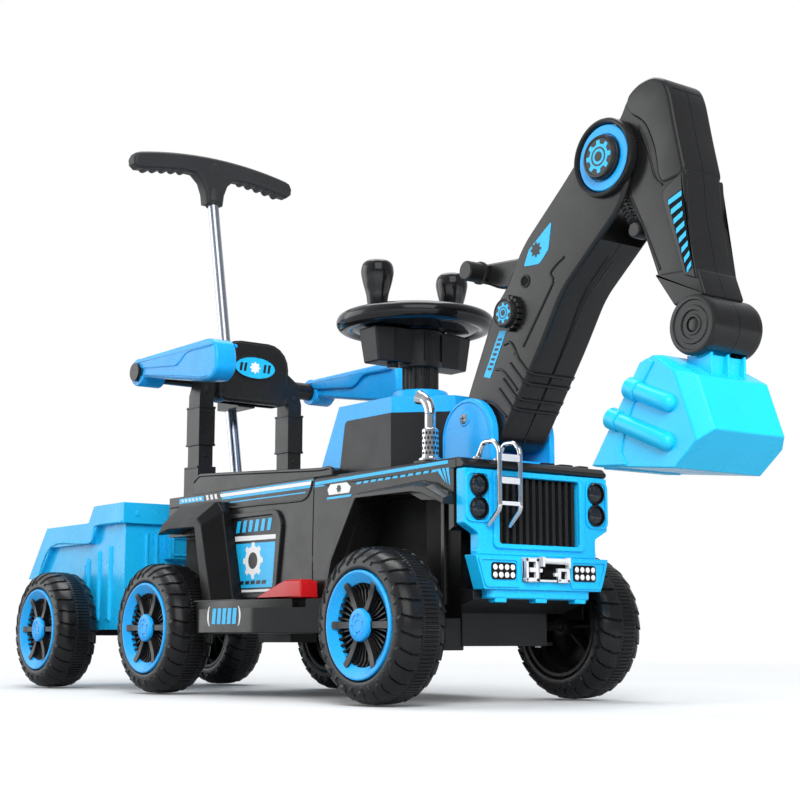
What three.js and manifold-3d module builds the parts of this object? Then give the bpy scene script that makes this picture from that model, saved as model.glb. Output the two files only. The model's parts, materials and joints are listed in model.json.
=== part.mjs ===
// Ride-on digger: a child's foot-to-floor excavator with a push handle and a tipper trailer.
// Millimetres, +Z up, the nose points along -Y and the rider's right hand side is -X.
// Sub-parts are written with y = 0 at the front axle; the whole group is then centred on y.
import * as THREE from 'three';
import { mergeVertices } from 'three/addons/utils/BufferGeometryUtils.js';
import Module from 'manifold-3d';

const wasm = await Module();
wasm.setup();

// ---------- driving dimensions ----------
const FRONT_AXLE_Y = -296;      // front axle in the finished frame
const WHEEL_RADIUS = 85;
const WHEEL_WIDTH = 64.8;
const WHEEL_X = 144;            // centre of each wheel from the centre plane
const REAR_AXLE_Y = 477.6;
const TRAILER_AXLE_Y = 809;
const AXLE_Z = WHEEL_RADIUS;
const AXLE_RADIUS = 5;
const RUN_GAP = 0.3;            // clearance between neighbouring parts
const RIM_RADIUS = 58.4;
const HUB_CAP_INNER = 23.8;     // axial distance from wheel centre to the blind end of the hub bore
const BODY_HALF = 106;
const DECK_Z = 104;             // chassis deck top
const HOOD_Z = 250;
const SIDE_TOP_Z = 262;
const KINGPIN_X = 84;
const STEER_ARM = 22;
const COLUMN_Y = 114;
const RIM_CENTRE_Y = 124;       // steering wheel centre, a little behind its column
const WHEEL_RIM_Z = 458;
const WHEEL_RIM_RADIUS = 85;
const WHEEL_RIM_TUBE = 10.5;
const BOOM_PIVOT = [-26, 314];  // y, z
const ELBOW = [-243, 564];
const BUCKET_PIVOT = [-354.5, 369.8];
const BOOM_HALF = 34;
const STICK_HALF = 27;
const BUCKET_HALF = 62;
const ARM_BAR = [542, 433.5];
const ARM_BAR_RADIUS = 12.5;
const HANDLE_FOOT = [519, 202]; // y, z of the push handle's lower end
const HANDLE_TOP = [622, 731];
const HANDLE_RADIUS = 8;
const HITCH_Y = 590;
const WALL = 4;

const MATERIALS = {
  black: { color: 0x1d1d1f, roughness: 0.38, metalness: 0.0 },
  satin: { color: 0x2b2b2d, roughness: 0.55, metalness: 0.0 },
  blue: { color: 0x2fa4ee, roughness: 0.35, metalness: 0.0 },
  cyan: { color: 0x2fc4fb, roughness: 0.35, metalness: 0.0 },
  chrome: { color: 0xdfe3e6, roughness: 0.08, metalness: 1.0 },
  red: { color: 0xd81f26, roughness: 0.35, metalness: 0.0 },
  tyre: { color: 0x222224, roughness: 0.45, metalness: 0.0 },
  lens: { color: 0x10161c, roughness: 0.1, metalness: 0.0 },
  steel: { color: 0x9aa0a6, roughness: 0.3, metalness: 1.0 },
};
const shades = Object.fromEntries(
  Object.entries(MATERIALS).map(([key, value]) => [key, new THREE.MeshStandardMaterial(value)]),
);

// ---------- solid helpers ----------
function signedVolume(positions, index) {
  let total = 0;
  const [a, b, c] = [new THREE.Vector3(), new THREE.Vector3(), new THREE.Vector3()];
  for (let i = 0; i < index.length; i += 3) {
    a.fromArray(positions, index[i] * 3);
    b.fromArray(positions, index[i + 1] * 3);
    c.fromArray(positions, index[i + 2] * 3);
    total += a.dot(b.cross(c)) / 6;
  }
  return total;
}

function solid(geometry) {
  const plain = geometry.clone();
  plain.deleteAttribute('normal');
  plain.deleteAttribute('uv');
  const merged = mergeVertices(plain, 1e-4);
  const vertProperties = new Float32Array(merged.attributes.position.array);
  const triVerts = new Uint32Array(merged.index.array);
  if (signedVolume(vertProperties, triVerts) < 0) {
    for (let i = 0; i < triVerts.length; i += 3) {
      [triVerts[i], triVerts[i + 1]] = [triVerts[i + 1], triVerts[i]];
    }
  }
  return new wasm.Manifold(new wasm.Mesh({ numProp: 3, vertProperties, triVerts }));
}

function join(...pieces) {
  return pieces.reduce((a, b) => a.add(b));
}

function cut(body, ...tools) {
  return tools.reduce((a, b) => a.subtract(b), body);
}

// the convex solid round a few outlines, each [x, [[y, z], ...]]
function hullAcross(levels) {
  return wasm.Manifold.hull(levels.flatMap(([x, line]) => line.map(([y, z]) => [x, y, z])));
}

function toGeometry(body) {
  const { vertProperties, triVerts } = body.getMesh();
  const geometry = new THREE.BufferGeometry();
  geometry.setAttribute('position', new THREE.BufferAttribute(new Float32Array(vertProperties), 3));
  geometry.setIndex(Array.from(triVerts));
  geometry.computeVertexNormals();
  return geometry;
}

function mirrored(body) {
  const geometry = toGeometry(body);
  geometry.scale(-1, 1, 1);
  return solid(geometry);
}

function shapeOf(points) {
  return new THREE.Shape(points.map(([u, v]) => new THREE.Vector2(u, v)));
}

function extruded(points, depth) {
  return new THREE.ExtrudeGeometry(shapeOf(points), { depth, bevelEnabled: false, steps: 1 });
}

// outline given as [y, z] and carried along X
function prismX(points, x0, x1) {
  const g = extruded(points, x1 - x0);
  const axes = new THREE.Matrix4().makeBasis(
    new THREE.Vector3(0, 1, 0), new THREE.Vector3(0, 0, 1), new THREE.Vector3(1, 0, 0),
  );
  g.applyMatrix4(axes);
  g.translate(x0, 0, 0);
  return solid(g);
}

// outline given as [x, z] and carried along Y
function prismY(points, y0, y1) {
  const g = extruded(points, y1 - y0);
  g.rotateX(Math.PI / 2);
  g.translate(0, y1, 0);
  return solid(g);
}

// outline given as [x, y] and carried along Z
function prismZ(points, z0, z1) {
  const g = extruded(points, z1 - z0);
  g.translate(0, 0, z0);
  return solid(g);
}

function box(x0, x1, y0, y1, z0, z1) {
  const g = new THREE.BoxGeometry(x1 - x0, y1 - y0, z1 - z0);
  g.translate((x0 + x1) / 2, (y0 + y1) / 2, (z0 + z1) / 2);
  return solid(g);
}

function rodX([y, z], radius, x0, x1, sides = 20) {
  const g = new THREE.CylinderGeometry(radius, radius, x1 - x0, sides);
  g.rotateZ(Math.PI / 2);
  g.translate((x0 + x1) / 2, y, z);
  return solid(g);
}

function rodY([x, z], radius, y0, y1, sides = 20) {
  const g = new THREE.CylinderGeometry(radius, radius, y1 - y0, sides);
  g.translate(x, (y0 + y1) / 2, z);
  return solid(g);
}

function rodZ([x, y], r0, r1, z0, z1, sides = 20) {
  const g = new THREE.CylinderGeometry(r1, r0, z1 - z0, sides);
  g.rotateX(Math.PI / 2);
  g.translate(x, y, (z0 + z1) / 2);
  return solid(g);
}

// straight round bar between two points
function rodBetween(a, b, radius, sides = 16) {
  const from = new THREE.Vector3(...a);
  const to = new THREE.Vector3(...b);
  const g = new THREE.CylinderGeometry(radius, radius, from.distanceTo(to), sides);
  const turn = new THREE.Quaternion().setFromUnitVectors(
    new THREE.Vector3(0, 1, 0), to.clone().sub(from).normalize(),
  );
  g.applyQuaternion(turn);
  g.translate(...from.add(to).multiplyScalar(0.5).toArray());
  return solid(g);
}

// round bar swept along a smooth path
function sweptRod(points, radius, sides = 8, steps = 20) {
  const path = new THREE.CatmullRomCurve3(points.map((p) => new THREE.Vector3(...p)), false, 'centripetal');
  const ring = [];
  for (let i = 0; i < sides; i += 1) {
    const t = (i / sides) * 2 * Math.PI;
    ring.push([radius * Math.cos(t), radius * Math.sin(t)]);
  }
  return solid(new THREE.ExtrudeGeometry(shapeOf(ring), { extrudePath: path, steps, bevelEnabled: false }));
}

// closed profile of [radius, axial] turned about X; side = -1 puts +axial towards -X
function turnedX(profile, side, [x, y, z], sides) {
  const points = profile.map(([r, a]) => new THREE.Vector2(r, a));
  const g = new THREE.LatheGeometry(points, sides);
  g.rotateZ(side < 0 ? Math.PI / 2 : -Math.PI / 2);
  g.translate(x, y, z);
  return solid(g);
}

function turnedZ(profile, [x, y, z], sides) {
  const g = new THREE.LatheGeometry(profile.map(([r, a]) => new THREE.Vector2(r, a)), sides);
  g.rotateX(Math.PI / 2);
  g.translate(x, y, z);
  return solid(g);
}

// moves every edge of a counter-clockwise outline inwards by d
function inset(points, d) {
  const n = points.length;
  const lines = points.map(([x0, y0], i) => {
    const [x1, y1] = points[(i + 1) % n];
    const length = Math.hypot(x1 - x0, y1 - y0);
    const [nx, ny] = [-(y1 - y0) / length, (x1 - x0) / length];
    return [x0 + nx * d, y0 + ny * d, x1 - x0, y1 - y0];
  });
  return lines.map(([x, y, dx, dy], i) => {
    const [px, py, ex, ey] = lines[(i + n - 1) % n];
    const t = ((x - px) * dy - (y - py) * dx) / (ex * dy - ey * dx);
    return [px + ex * t, py + ey * t];
  });
}

const digger = new THREE.Group();
digger.name = 'ride_on_digger';
digger.position.y = FRONT_AXLE_Y;

function add(name, body, shade) {
  const mesh = new THREE.Mesh(toGeometry(body), shades[shade]);
  mesh.name = name;
  digger.add(mesh);
}

function addPair(stem, rightBody, shade) {
  add(`${stem}_right`, rightBody, shade);
  add(`${stem}_left`, mirrored(rightBody), shade);
}

// ---------- chassis ----------
const BEAM_HALF = 62;           // front axle beam
const BEAM_FRONT_Y = -38;
const BEAM_REAR_Y = 60;
const BEAM_LOW_Z = 62.5;
const KINGPIN_RADIUS = 4;

function chassisFrame() {
  const deck = box(-BODY_HALF + 4, BODY_HALF - 4, 140, 536, DECK_Z - 6, DECK_Z);
  const spine = box(-BEAM_HALF, BEAM_HALF, BEAM_FRONT_Y, 150, DECK_Z - 4, DECK_Z);
  const floor = box(-BEAM_HALF, BEAM_HALF, BEAM_FRONT_Y, BEAM_REAR_Y, BEAM_LOW_Z, BEAM_LOW_Z + 4);
  const nose = box(-BEAM_HALF, BEAM_HALF, BEAM_FRONT_Y, BEAM_FRONT_Y + 4, BEAM_LOW_Z, DECK_Z);
  const pieces = [spine, floor, nose];
  const holes = [];
  for (const side of [-1, 1]) {
    const [inner, outer] = [side * (BEAM_HALF - 4), side * (KINGPIN_X + 11)].sort((a, b) => a - b);
    pieces.push(box(inner, outer, -12, 12, BEAM_LOW_Z, BEAM_LOW_Z + 4));
    pieces.push(box(inner, outer, -12, 12, DECK_Z - 4, DECK_Z));
    holes.push(rodZ([side * KINGPIN_X, 0], KINGPIN_RADIUS + RUN_GAP, KINGPIN_RADIUS + RUN_GAP, 50, 120));
    const [a, b] = [side * 62, side * 98].sort((u, v) => u - v);
    pieces.push(box(a, b, REAR_AXLE_Y - 14, REAR_AXLE_Y + 14, 74, DECK_Z - 3));
  }
  const tongue = box(-14, 14, 520, HITCH_Y + 14, DECK_Z - 6, DECK_Z);
  const hitch = rodZ([0, HITCH_Y], 5, 5, 76, DECK_Z - 4);
  const stop = rodZ([0, HITCH_Y], 9, 9, 74, 79);
  const axleBore = rodX([REAR_AXLE_Y, AXLE_Z], AXLE_RADIUS + RUN_GAP, -120, 120);
  return cut(join(deck, ...pieces, tongue, hitch, stop), ...holes, axleBore);
}

function rearAxle() {
  return rodX([REAR_AXLE_Y, AXLE_Z], AXLE_RADIUS, -WHEEL_X - HUB_CAP_INNER + 0.5, WHEEL_X + HUB_CAP_INNER - 0.5);
}

function driveGearbox() {
  const casing = box(14, 56, REAR_AXLE_Y - 62, REAR_AXLE_Y + 18, 66, DECK_Z - 6.3);
  return cut(casing, rodX([REAR_AXLE_Y, AXLE_Z], AXLE_RADIUS + RUN_GAP, 0, 70));
}

function batteryPack() {
  return box(-50, 50, 250, 350, DECK_Z + RUN_GAP, DECK_Z + 62);
}

function knuckleRight() {
  const pin = rodZ([-KINGPIN_X, 0], KINGPIN_RADIUS, KINGPIN_RADIUS, BEAM_LOW_Z - 2, DECK_Z + 2);
  const boss = rodZ([-KINGPIN_X, 0], 9, 9, BEAM_LOW_Z + 4 + RUN_GAP, DECK_Z - 4 - RUN_GAP);
  const spindle = rodX([0, AXLE_Z], AXLE_RADIUS, -WHEEL_X - HUB_CAP_INNER + 0.5, -KINGPIN_X);
  const arm = box(-KINGPIN_X - 4, -KINGPIN_X + 4, 0, STEER_ARM + 4, 70, 76);
  const peg = rodZ([-KINGPIN_X, STEER_ARM], 2.5, 2.5, 75, 84, 16);
  return join(pin, boss, spindle, arm, peg);
}

function tieRod() {
  const pegHole = 4.2;
  const pieces = [box(-78, 78, STEER_ARM - 3, STEER_ARM + 3, 76.3, 82.3)];
  const holes = [];
  for (const side of [-1, 1]) {
    pieces.push(rodZ([side * KINGPIN_X, STEER_ARM], 8, 8, 76.3, 82.3));
    holes.push(rodZ([side * KINGPIN_X, STEER_ARM], pegHole, pegHole, 70, 90, 16));
  }
  return cut(join(...pieces), ...holes);
}

// ---------- wheels ----------
function tyreProfile() {
  const half = WHEEL_WIDTH / 2;
  const bead = RIM_RADIUS + RUN_GAP;
  return [
    [bead, half - 4.5], [bead, half], [75, half], [WHEEL_RADIUS, half - 17], [WHEEL_RADIUS, 17 - half],
    [75, -half], [bead, -half], [bead, 4.5 - half], [72, 4.5 - half], [80, 20 - half], [80, half - 20],
    [72, half - 4.5], [bead, half - 4.5],
  ];
}

function rimProfile() {
  const half = WHEEL_WIDTH / 2;
  const bore = AXLE_RADIUS + RUN_GAP;
  return [
    [0, HUB_CAP_INNER], [0, half - 2], [13, half - 4], [13, 18], [50, 20], [52, half - 0.5],
    [RIM_RADIUS, half - 0.5], [RIM_RADIUS, 3 - half], [54, 3 - half], [50, 14], [11, 12], [11, -26],
    [bore, -26], [bore, HUB_CAP_INNER], [0, HUB_CAP_INNER],
  ];
}

function addWheel(stem, side, y) {
  const centre = [side * WHEEL_X, y, AXLE_Z];
  add(`tyre_${stem}`, turnedX(tyreProfile(), side, centre, 24), 'tyre');
  add(`rim_${stem}`, turnedX(rimProfile(), side, centre, 24), 'blue');
}

// ---------- body ----------
function bodyShell() {
  const profile = [
    [-60, DECK_Z + RUN_GAP], [540, DECK_Z + RUN_GAP], [540, SIDE_TOP_Z], [186, SIDE_TOP_Z],
    [186, HOOD_Z], [-78, HOOD_Z], [-78, 188], [-60, 180],
  ];
  const outer = prismX(profile, -BODY_HALF, BODY_HALF);
  const tools = [box(-66, 66, -56, 536, 90, HOOD_Z - WALL), box(-102, 102, 144, 388, 90, SIDE_TOP_Z - WALL)];
  tools.push(box(-102, 102, -74, 140, 236, HOOD_Z - WALL));
  tools.push(box(-102, 102, 190, 536, 212, SIDE_TOP_Z - WALL));
  const frontWell = [[-12, 90], [150, 90], [118, 161], [84, 229], [-12, 229]];
  const pillarSide = [[-70, 90], [-11, 90], [-11, 225], [-70, 215]];
  const rearWell = [[395, 90], [560, 90], [560, 208], [400, 208]];
  for (const side of [-1, 1]) {
    const span = (a, b) => [side * a, side * b].sort((u, v) => u - v);
    tools.push(prismX(frontWell, ...span(70, 120)));
    tools.push(prismX(pillarSide, ...span(88, 120)));
    tools.push(prismX(rearWell, ...span(78, 120)));
  }
  const tube = rodBetween([0, HANDLE_FOOT[0] - 8, HANDLE_FOOT[1] - 41], [0, ...HANDLE_TOP], HANDLE_RADIUS + 0.5);
  const rearWall = box(-66, 66, 536, 540, DECK_Z + RUN_GAP, 196);
  const archRight = prismX(archPoints(), -112, -BODY_HALF + 4);
  return join(cut(outer, ...tools, tube), rearWall, archRight, mirrored(archRight));
}

function archPoints() {
  const outer = [[-76, 225], [-36, 239], [88, 235], [136, 161], [150, 118]];
  const inner = [[141, 118], [128, 161], [81, 229], [-10, 228], [-30, 219.5], [-76, 216]];
  return [...outer, ...inner];
}

function hoodCover() {
  const half = 106;
  const top = 97;
  const section = [[-half, HOOD_Z + RUN_GAP], [half, HOOD_Z + RUN_GAP], [half, 255], [top, SIDE_TOP_Z],
    [-top, SIDE_TOP_Z], [-half, 255]];
  const under = box(-half + WALL, half - WALL, -80, 180, HOOD_Z, SIDE_TOP_Z - WALL);
  return cut(prismY(section, -88, 185.5), under);
}

// fender, its leg and the foot board are one moulding on each side
function sideStepRight() {
  const fender = [[391, 216], [391, 243], [480, 242], [508, 212], [480, 217]];
  const flank = prismX(fender, -142, -BODY_HALF - RUN_GAP);
  const leg = prismX([[345, 116], [386, 116], [412, 216], [412, 243], [389, 243]], -142, -BODY_HALF - RUN_GAP);
  const slope = prismY([[-119, 248], [-143, 222], [-150, 222], [-150, 260], [-119, 260]], 330, 520);
  const plan = [[-BODY_HALF - RUN_GAP, 108], [-BODY_HALF - RUN_GAP, 384], [-150, 384], [-160, 362], [-160, 237],
    [-113, 116]];
  const board = prismZ(plan, 77, 117);
  const under = prismZ([[-100, 130], [-100, 370], [-146, 370], [-154, 355], [-154, 240], [-116, 140]], 60, 102);
  const pedalWell = box(-138, -110, 164, 268, 106, 125);
  return cut(join(cut(join(flank, leg), slope), board), under, pedalWell);
}

function seat() {
  const rail = [[150, SIDE_TOP_Z + RUN_GAP], [150, 268], [158, 272], [185, 271], [445, 287], [468, 287],
    [480, 280], [480, SIDE_TOP_Z + RUN_GAP]];
  const railRight = prismX(rail, -103, -84);
  const pan = prismX([[220, SIDE_TOP_Z + RUN_GAP], [220, 272], [330, 268], [440, 273], [480, 278],
    [480, SIDE_TOP_Z + RUN_GAP]], -85, 85);
  const under = box(-80, 80, 224, 476, SIDE_TOP_Z, 265);
  return cut(join(railRight, mirrored(railRight), pan), under);
}

function footPedal() {
  const wedge = [[168, 118], [166, 131], [204, 131], [262, 120], [262, 118]];
  return prismX(wedge, -136, -112);
}

// ---------- nose ----------
const FASCIA_FRONT = -95;
const FASCIA_REAR = -80.3;
const LAMP_X = 83;

function fascia() {
  const half = [[86, 158.3], [86, 181], [105, 191], [105, HOOD_Z]];
  const outline = [...half, ...half.slice().reverse().map(([x, z]) => [-x, z])];
  const plate = prismY(outline, FASCIA_FRONT, FASCIA_REAR);
  const grilleBay = box(-58.8, 58.8, FASCIA_FRONT - 5, FASCIA_REAR - 3, 170.7, 243.3);
  return cut(plate, grilleBay);
}

function grillePanel() {
  const panel = box(-58.5, 58.5, -88.5, FASCIA_REAR - 3 - RUN_GAP, 171, 243);
  const slats = [];
  for (let i = 0; i < 11; i += 1) {
    const x = (i - 5) * 10.4;
    slats.push(box(x - 3.2, x + 3.2, -92, -88, 171, 243));
  }
  return join(panel, ...slats);
}

function headlampRight() {
  const plate = box(-LAMP_X - 9, -LAMP_X + 9, -97.5, FASCIA_FRONT - RUN_GAP, 205, 234);
  const lenses = [207.4, 232].map((z) => rodY([-LAMP_X, z], 11, -100, FASCIA_FRONT - RUN_GAP, 20));
  return join(plate, ...lenses);
}

function bumper() {
  const face = prismY([[-85, 122], [85, 122], [97, 158], [-97, 158]], -103, -84);
  const skid = box(-72, 72, -95, -80, 112.5, 124);
  const mount = box(-60, 60, -86, -60.3, 130, 155);
  return join(face, skid, mount);
}

function winchBlock() {
  const body = box(-35, 35, -108, -103.3, 129, 159);
  const spool = rodX([-109, 155], 4.5, -18, 33, 12);
  return join(body, spool);
}

function hoodLadder() {
  const [railA, railB] = [-74, -45];
  const rail = (x) => sweptRod([
    [x, -97.6, 191], [x, -108, 195], [x, -115, 203], [x, -115, 236], [x, -115, 268], [x, -108, 277],
    [x, -94, 277.5], [x, -82, 273], [x, -79, SIDE_TOP_Z + 4], [x, -79, SIDE_TOP_Z + 1],
  ], 2.6, 6, 14);
  const rungs = [213, 237, 261].map((z) => rodX([-115, z], 2.4, railA, railB, 6));
  return join(rail(railA), rail(railB), ...rungs);
}

function exhaustStack() {
  const at = [-82, -8];
  const foot = box(at[0] - 14, at[0] + 14, at[1] - 12, at[1] + 12, SIDE_TOP_Z + RUN_GAP, SIDE_TOP_Z + 4);
  const shroud = rodZ(at, 9.5, 9.5, SIDE_TOP_Z + 3, 302, 16);
  const pipe = sweptRod([[at[0], at[1], 298], [at[0], at[1], 320], [at[0] - 1, at[1] + 4, 331],
    [at[0] - 3, at[1] + 14, 337]], 7, 12, 10);
  return join(foot, shroud, pipe);
}

// ---------- console and steering ----------
const CONSOLE_TOP = 348;
const COLLAR_RADIUS = 35;
const COLUMN_RADIUS = 21;

function consoleSolid(d, z0) {
  const side = prismX([[10 + d, z0], [216 - d * 1.1, z0], [172 - d * 1.1, CONSOLE_TOP - d], [14 + d, CONSOLE_TOP - d]],
    -100, 100);
  const k = d * 0.414;
  const plan = [[-24 + k, 10 + d], [24 - k, 10 + d], [80 - d, 66 + k], [80 - d, 230], [-80 + d, 230],
    [-80 + d, 66 + k]];
  return side.intersect(prismZ(plan, z0, CONSOLE_TOP));
}

function consoleWindows() {
  const sides = prismX([[74, 270], [168, 270], [148, 328], [74, 328]], -90, 90);
  const front = box(-18, 18, 0, 25, 270, 328);
  const corners = [-1, 1].map((side) => {
    const g = new THREE.BoxGeometry(62, 24, 58);
    g.rotateZ(side * Math.PI / 4);
    g.translate(side * 52, 38, 299);
    return solid(g);
  });
  return join(sides, front, ...corners);
}

function consoleShell() {
  const base = SIDE_TOP_Z + RUN_GAP;
  const collar = rodZ([0, COLUMN_Y], COLLAR_RADIUS, COLLAR_RADIUS - 3, CONSOLE_TOP - 2, 366, 32);
  const inner = join(consoleSolid(3.5, base), consoleSolid(3.5, base - 2));
  const bore = rodZ([0, COLUMN_Y], COLUMN_RADIUS + 0.5, COLUMN_RADIUS + 0.5, 330, 380, 32);
  return cut(join(consoleSolid(0, base), collar), inner, bore, consoleWindows());
}

function consoleCore() {
  const bore = rodZ([0, COLUMN_Y], COLUMN_RADIUS + 0.5, COLUMN_RADIUS + 0.5, 310, 380, 32);
  const inner = consoleSolid(3.5 + WALL, SIDE_TOP_Z - 2);
  const cup = rodZ([0, COLUMN_Y], COLUMN_RADIUS + 4, COLUMN_RADIUS + 4, 304, 342, 32);
  return cut(join(cut(consoleSolid(3.5 + RUN_GAP, SIDE_TOP_Z + RUN_GAP), inner), cup), bore);
}

function steeringColumn() {
  return rodZ([0, COLUMN_Y], COLUMN_RADIUS, COLUMN_RADIUS - 1, 312, 397.7, 24);
}

function soundBox() {
  const low = [[-73, 100], [73, 100], [73, 140], [-73, 140]];
  return prismZ(low, 398, 440);
}

function steeringWheel() {
  const ring = new THREE.TorusGeometry(WHEEL_RIM_RADIUS, WHEEL_RIM_TUBE, 8, 32);
  ring.translate(0, RIM_CENTRE_Y, WHEEL_RIM_Z);
  const hub = rodZ([0, RIM_CENTRE_Y], 40, 34, 440.3, 458, 24);
  const spokes = [
    box(-WHEEL_RIM_RADIUS + 4, WHEEL_RIM_RADIUS - 4, RIM_CENTRE_Y - 16, RIM_CENTRE_Y + 16, 446, 454),
    box(-14, 14, RIM_CENTRE_Y, RIM_CENTRE_Y - 4 + WHEEL_RIM_RADIUS, 446, 454),
  ];
  return join(solid(ring), hub, ...spokes);
}

function wheelGripRight() {
  return turnedZ([[0, 0], [13, 0], [10, 14], [12, 30], [17, 46], [16, 56], [10, 62], [0, 63]],
    [-58, RIM_CENTRE_Y, 454.3], 16);
}

// ---------- boom, stick and bucket ----------
function boomBracket() {
  const ear = [[-73, 262.3], [15, 262.3], [15, 292], [2, 322], [-14, 333], [-32, 337], [-50, 333],
    [-66, 320], [-73, 300]];
  const right = prismX(ear, -47, -38);
  const plate = box(-47, 47, -73, 8, SIDE_TOP_Z + RUN_GAP, 266);
  return cut(join(right, mirrored(right), plate), rodX(BOOM_PIVOT, 6 + RUN_GAP, -60, 60));
}

function bracketPin() {
  return join(rodX(BOOM_PIVOT, 6, -47.3, 50), rodX(BOOM_PIVOT, 9, -51, -47.3, 16));
}

const BOOM_OUTLINE = [
  [-55, 277], [-12, 284], [-6, 312], [-14, 340], [-65, 440], [-83, 456], [-111, 499], [-179, 556],
  [-203, 578], [-243, 606], [-283, 545], [-269, 508], [-176.5, 433], [-142.7, 384], [-70.8, 284],
];

function boomShellRight() {
  const plateInner = 29.4;
  const side = join(prismX(BOOM_OUTLINE, -BOOM_HALF, -RUN_GAP / 2), rodX(ELBOW, 42, -BOOM_HALF - 7, -RUN_GAP / 2, 40));
  const hollow = prismX(inset(BOOM_OUTLINE, WALL), -plateInner, 5);
  const fork = rodX(ELBOW, 84, -plateInner, 5, 40);
  const hub = rodX(BOOM_PIVOT, 14, -plateInner - 1, -RUN_GAP / 2);
  const knob = rodX([-92, 424], 16.5, -BOOM_HALF - 12, -BOOM_HALF + 1);
  const bores = [rodX(BOOM_PIVOT, 6 + RUN_GAP, -60, 60), rodX(ELBOW, 9 + RUN_GAP, -60, 60)];
  return cut(join(cut(side, hollow, fork), hub, knob), ...bores);
}

function boomShellLeft() {
  const plateInner = 29.4;
  const side = join(prismX(BOOM_OUTLINE, RUN_GAP / 2, BOOM_HALF), rodX(ELBOW, 42, RUN_GAP / 2, BOOM_HALF + 7, 40));
  const hollow = prismX(inset(BOOM_OUTLINE, WALL), -5, plateInner);
  const fork = rodX(ELBOW, 84, -5, plateInner, 40);
  const hub = rodX(BOOM_PIVOT, 14, RUN_GAP / 2, plateInner + 1);
  const bores = [rodX(BOOM_PIVOT, 6 + RUN_GAP, -60, 60), rodX(ELBOW, 9 + RUN_GAP, -60, 60)];
  return cut(join(cut(side, hollow, fork), hub), ...bores);
}

function boomHandle() {
  const bar = rodX([-32, 483], 11.5, -50, 50, 20);
  const web = prismX([[-32, 493], [-104, 488.5], [-82, 457.2], [-60, 462], [-30, 474]], -24, 24);
  return join(bar, web);
}

function elbowPin() {
  return rodX(ELBOW, 9, -BOOM_HALF - 6.7, BOOM_HALF + 6.7);
}

function elbowCapRight() {
  const disc = rodX(ELBOW, 32, -BOOM_HALF - 10, -BOOM_HALF - 7 - RUN_GAP, 32);
  return join(disc, rodX(ELBOW, 18, -BOOM_HALF - 16, -BOOM_HALF - 8, 24));
}

const STICK_OUTLINE = [
  [-330, 392], [-304, 425], [-299, 439], [-271, 493], [-247, 528], [-228, 552], [-226, 575], [-240, 594],
  [-256, 606], [-266, 624], [-284, 635], [-306, 637], [-322, 628], [-328, 612], [-335, 570], [-345, 525],
  [-346, 487], [-357, 425], [-363, 412], [-366, 395],
];

function stickHalf() {
  const half = RUN_GAP / 2;
  const outer = prismX(STICK_OUTLINE, -STICK_HALF, -half);
  const frame = [[-356, 426], [-345.5, 487], [-344, 524], [-320, 515], [-315.5, 507], [-341, 422]];
  const raised = prismX(frame, -STICK_HALF - 4, -STICK_HALF + 1);
  const hollow = prismX(inset(STICK_OUTLINE, WALL), -STICK_HALF + WALL, 5);
  const hub = rodX(ELBOW, 15, -STICK_HALF, -half);
  const barrel = rodX(BUCKET_PIVOT, 30, -35, -half, 32);
  const throat = rodX(BUCKET_PIVOT, 25, -27, 5, 32);
  const slot = box(-27, 5, -400, -300, 320, 357);
  const pinBores = [rodX(ELBOW, 9 + RUN_GAP, -60, 60), rodX(BUCKET_PIVOT, 7 + RUN_GAP, -33, 60)];
  return cut(join(cut(join(outer, raised), hollow), hub, barrel), throat, slot, ...pinBores);
}

function stickSpring() {
  const from = new THREE.Vector3(0, -233, 531);
  const to = new THREE.Vector3(0, -262, 487.5);
  const length = from.distanceTo(to);
  const coils = 8;
  const profile = [[0, 0]];
  for (let i = 0; i < coils; i += 1) {
    const a = (i / coils) * length;
    const step = length / coils;
    profile.push([4.2, a], [6, a + step * 0.3], [6, a + step * 0.7]);
  }
  profile.push([4.2, length], [0, length]);
  const g = new THREE.LatheGeometry(profile.map(([r, a]) => new THREE.Vector2(r, a)), 12);
  const turn = new THREE.Quaternion().setFromUnitVectors(
    new THREE.Vector3(0, 1, 0), to.clone().sub(from).normalize(),
  );
  g.applyQuaternion(turn);
  g.translate(...from.toArray());
  return solid(g);
}

const BUCKET_MIDDLE = [[-243, 240], [-312, 336], [-330, 342], [-374, 317], [-393, 263], [-352, 229]];
const BUCKET_SIDE = [[-243, 240], [-312, 336], [-328, 341], [-354, 322], [-374, 264.5], [-346, 231]];
const BUCKET_BEVEL_X = 44;      // the front corners are bevelled from here out to the sides

// the scoop's bosses: [rear end, front end] of each axis, as y, z
const BUCKET_BOSSES = [[[-290, 315.5], [-355, 288]], [[-263, 289], [-352, 251]]];

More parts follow.
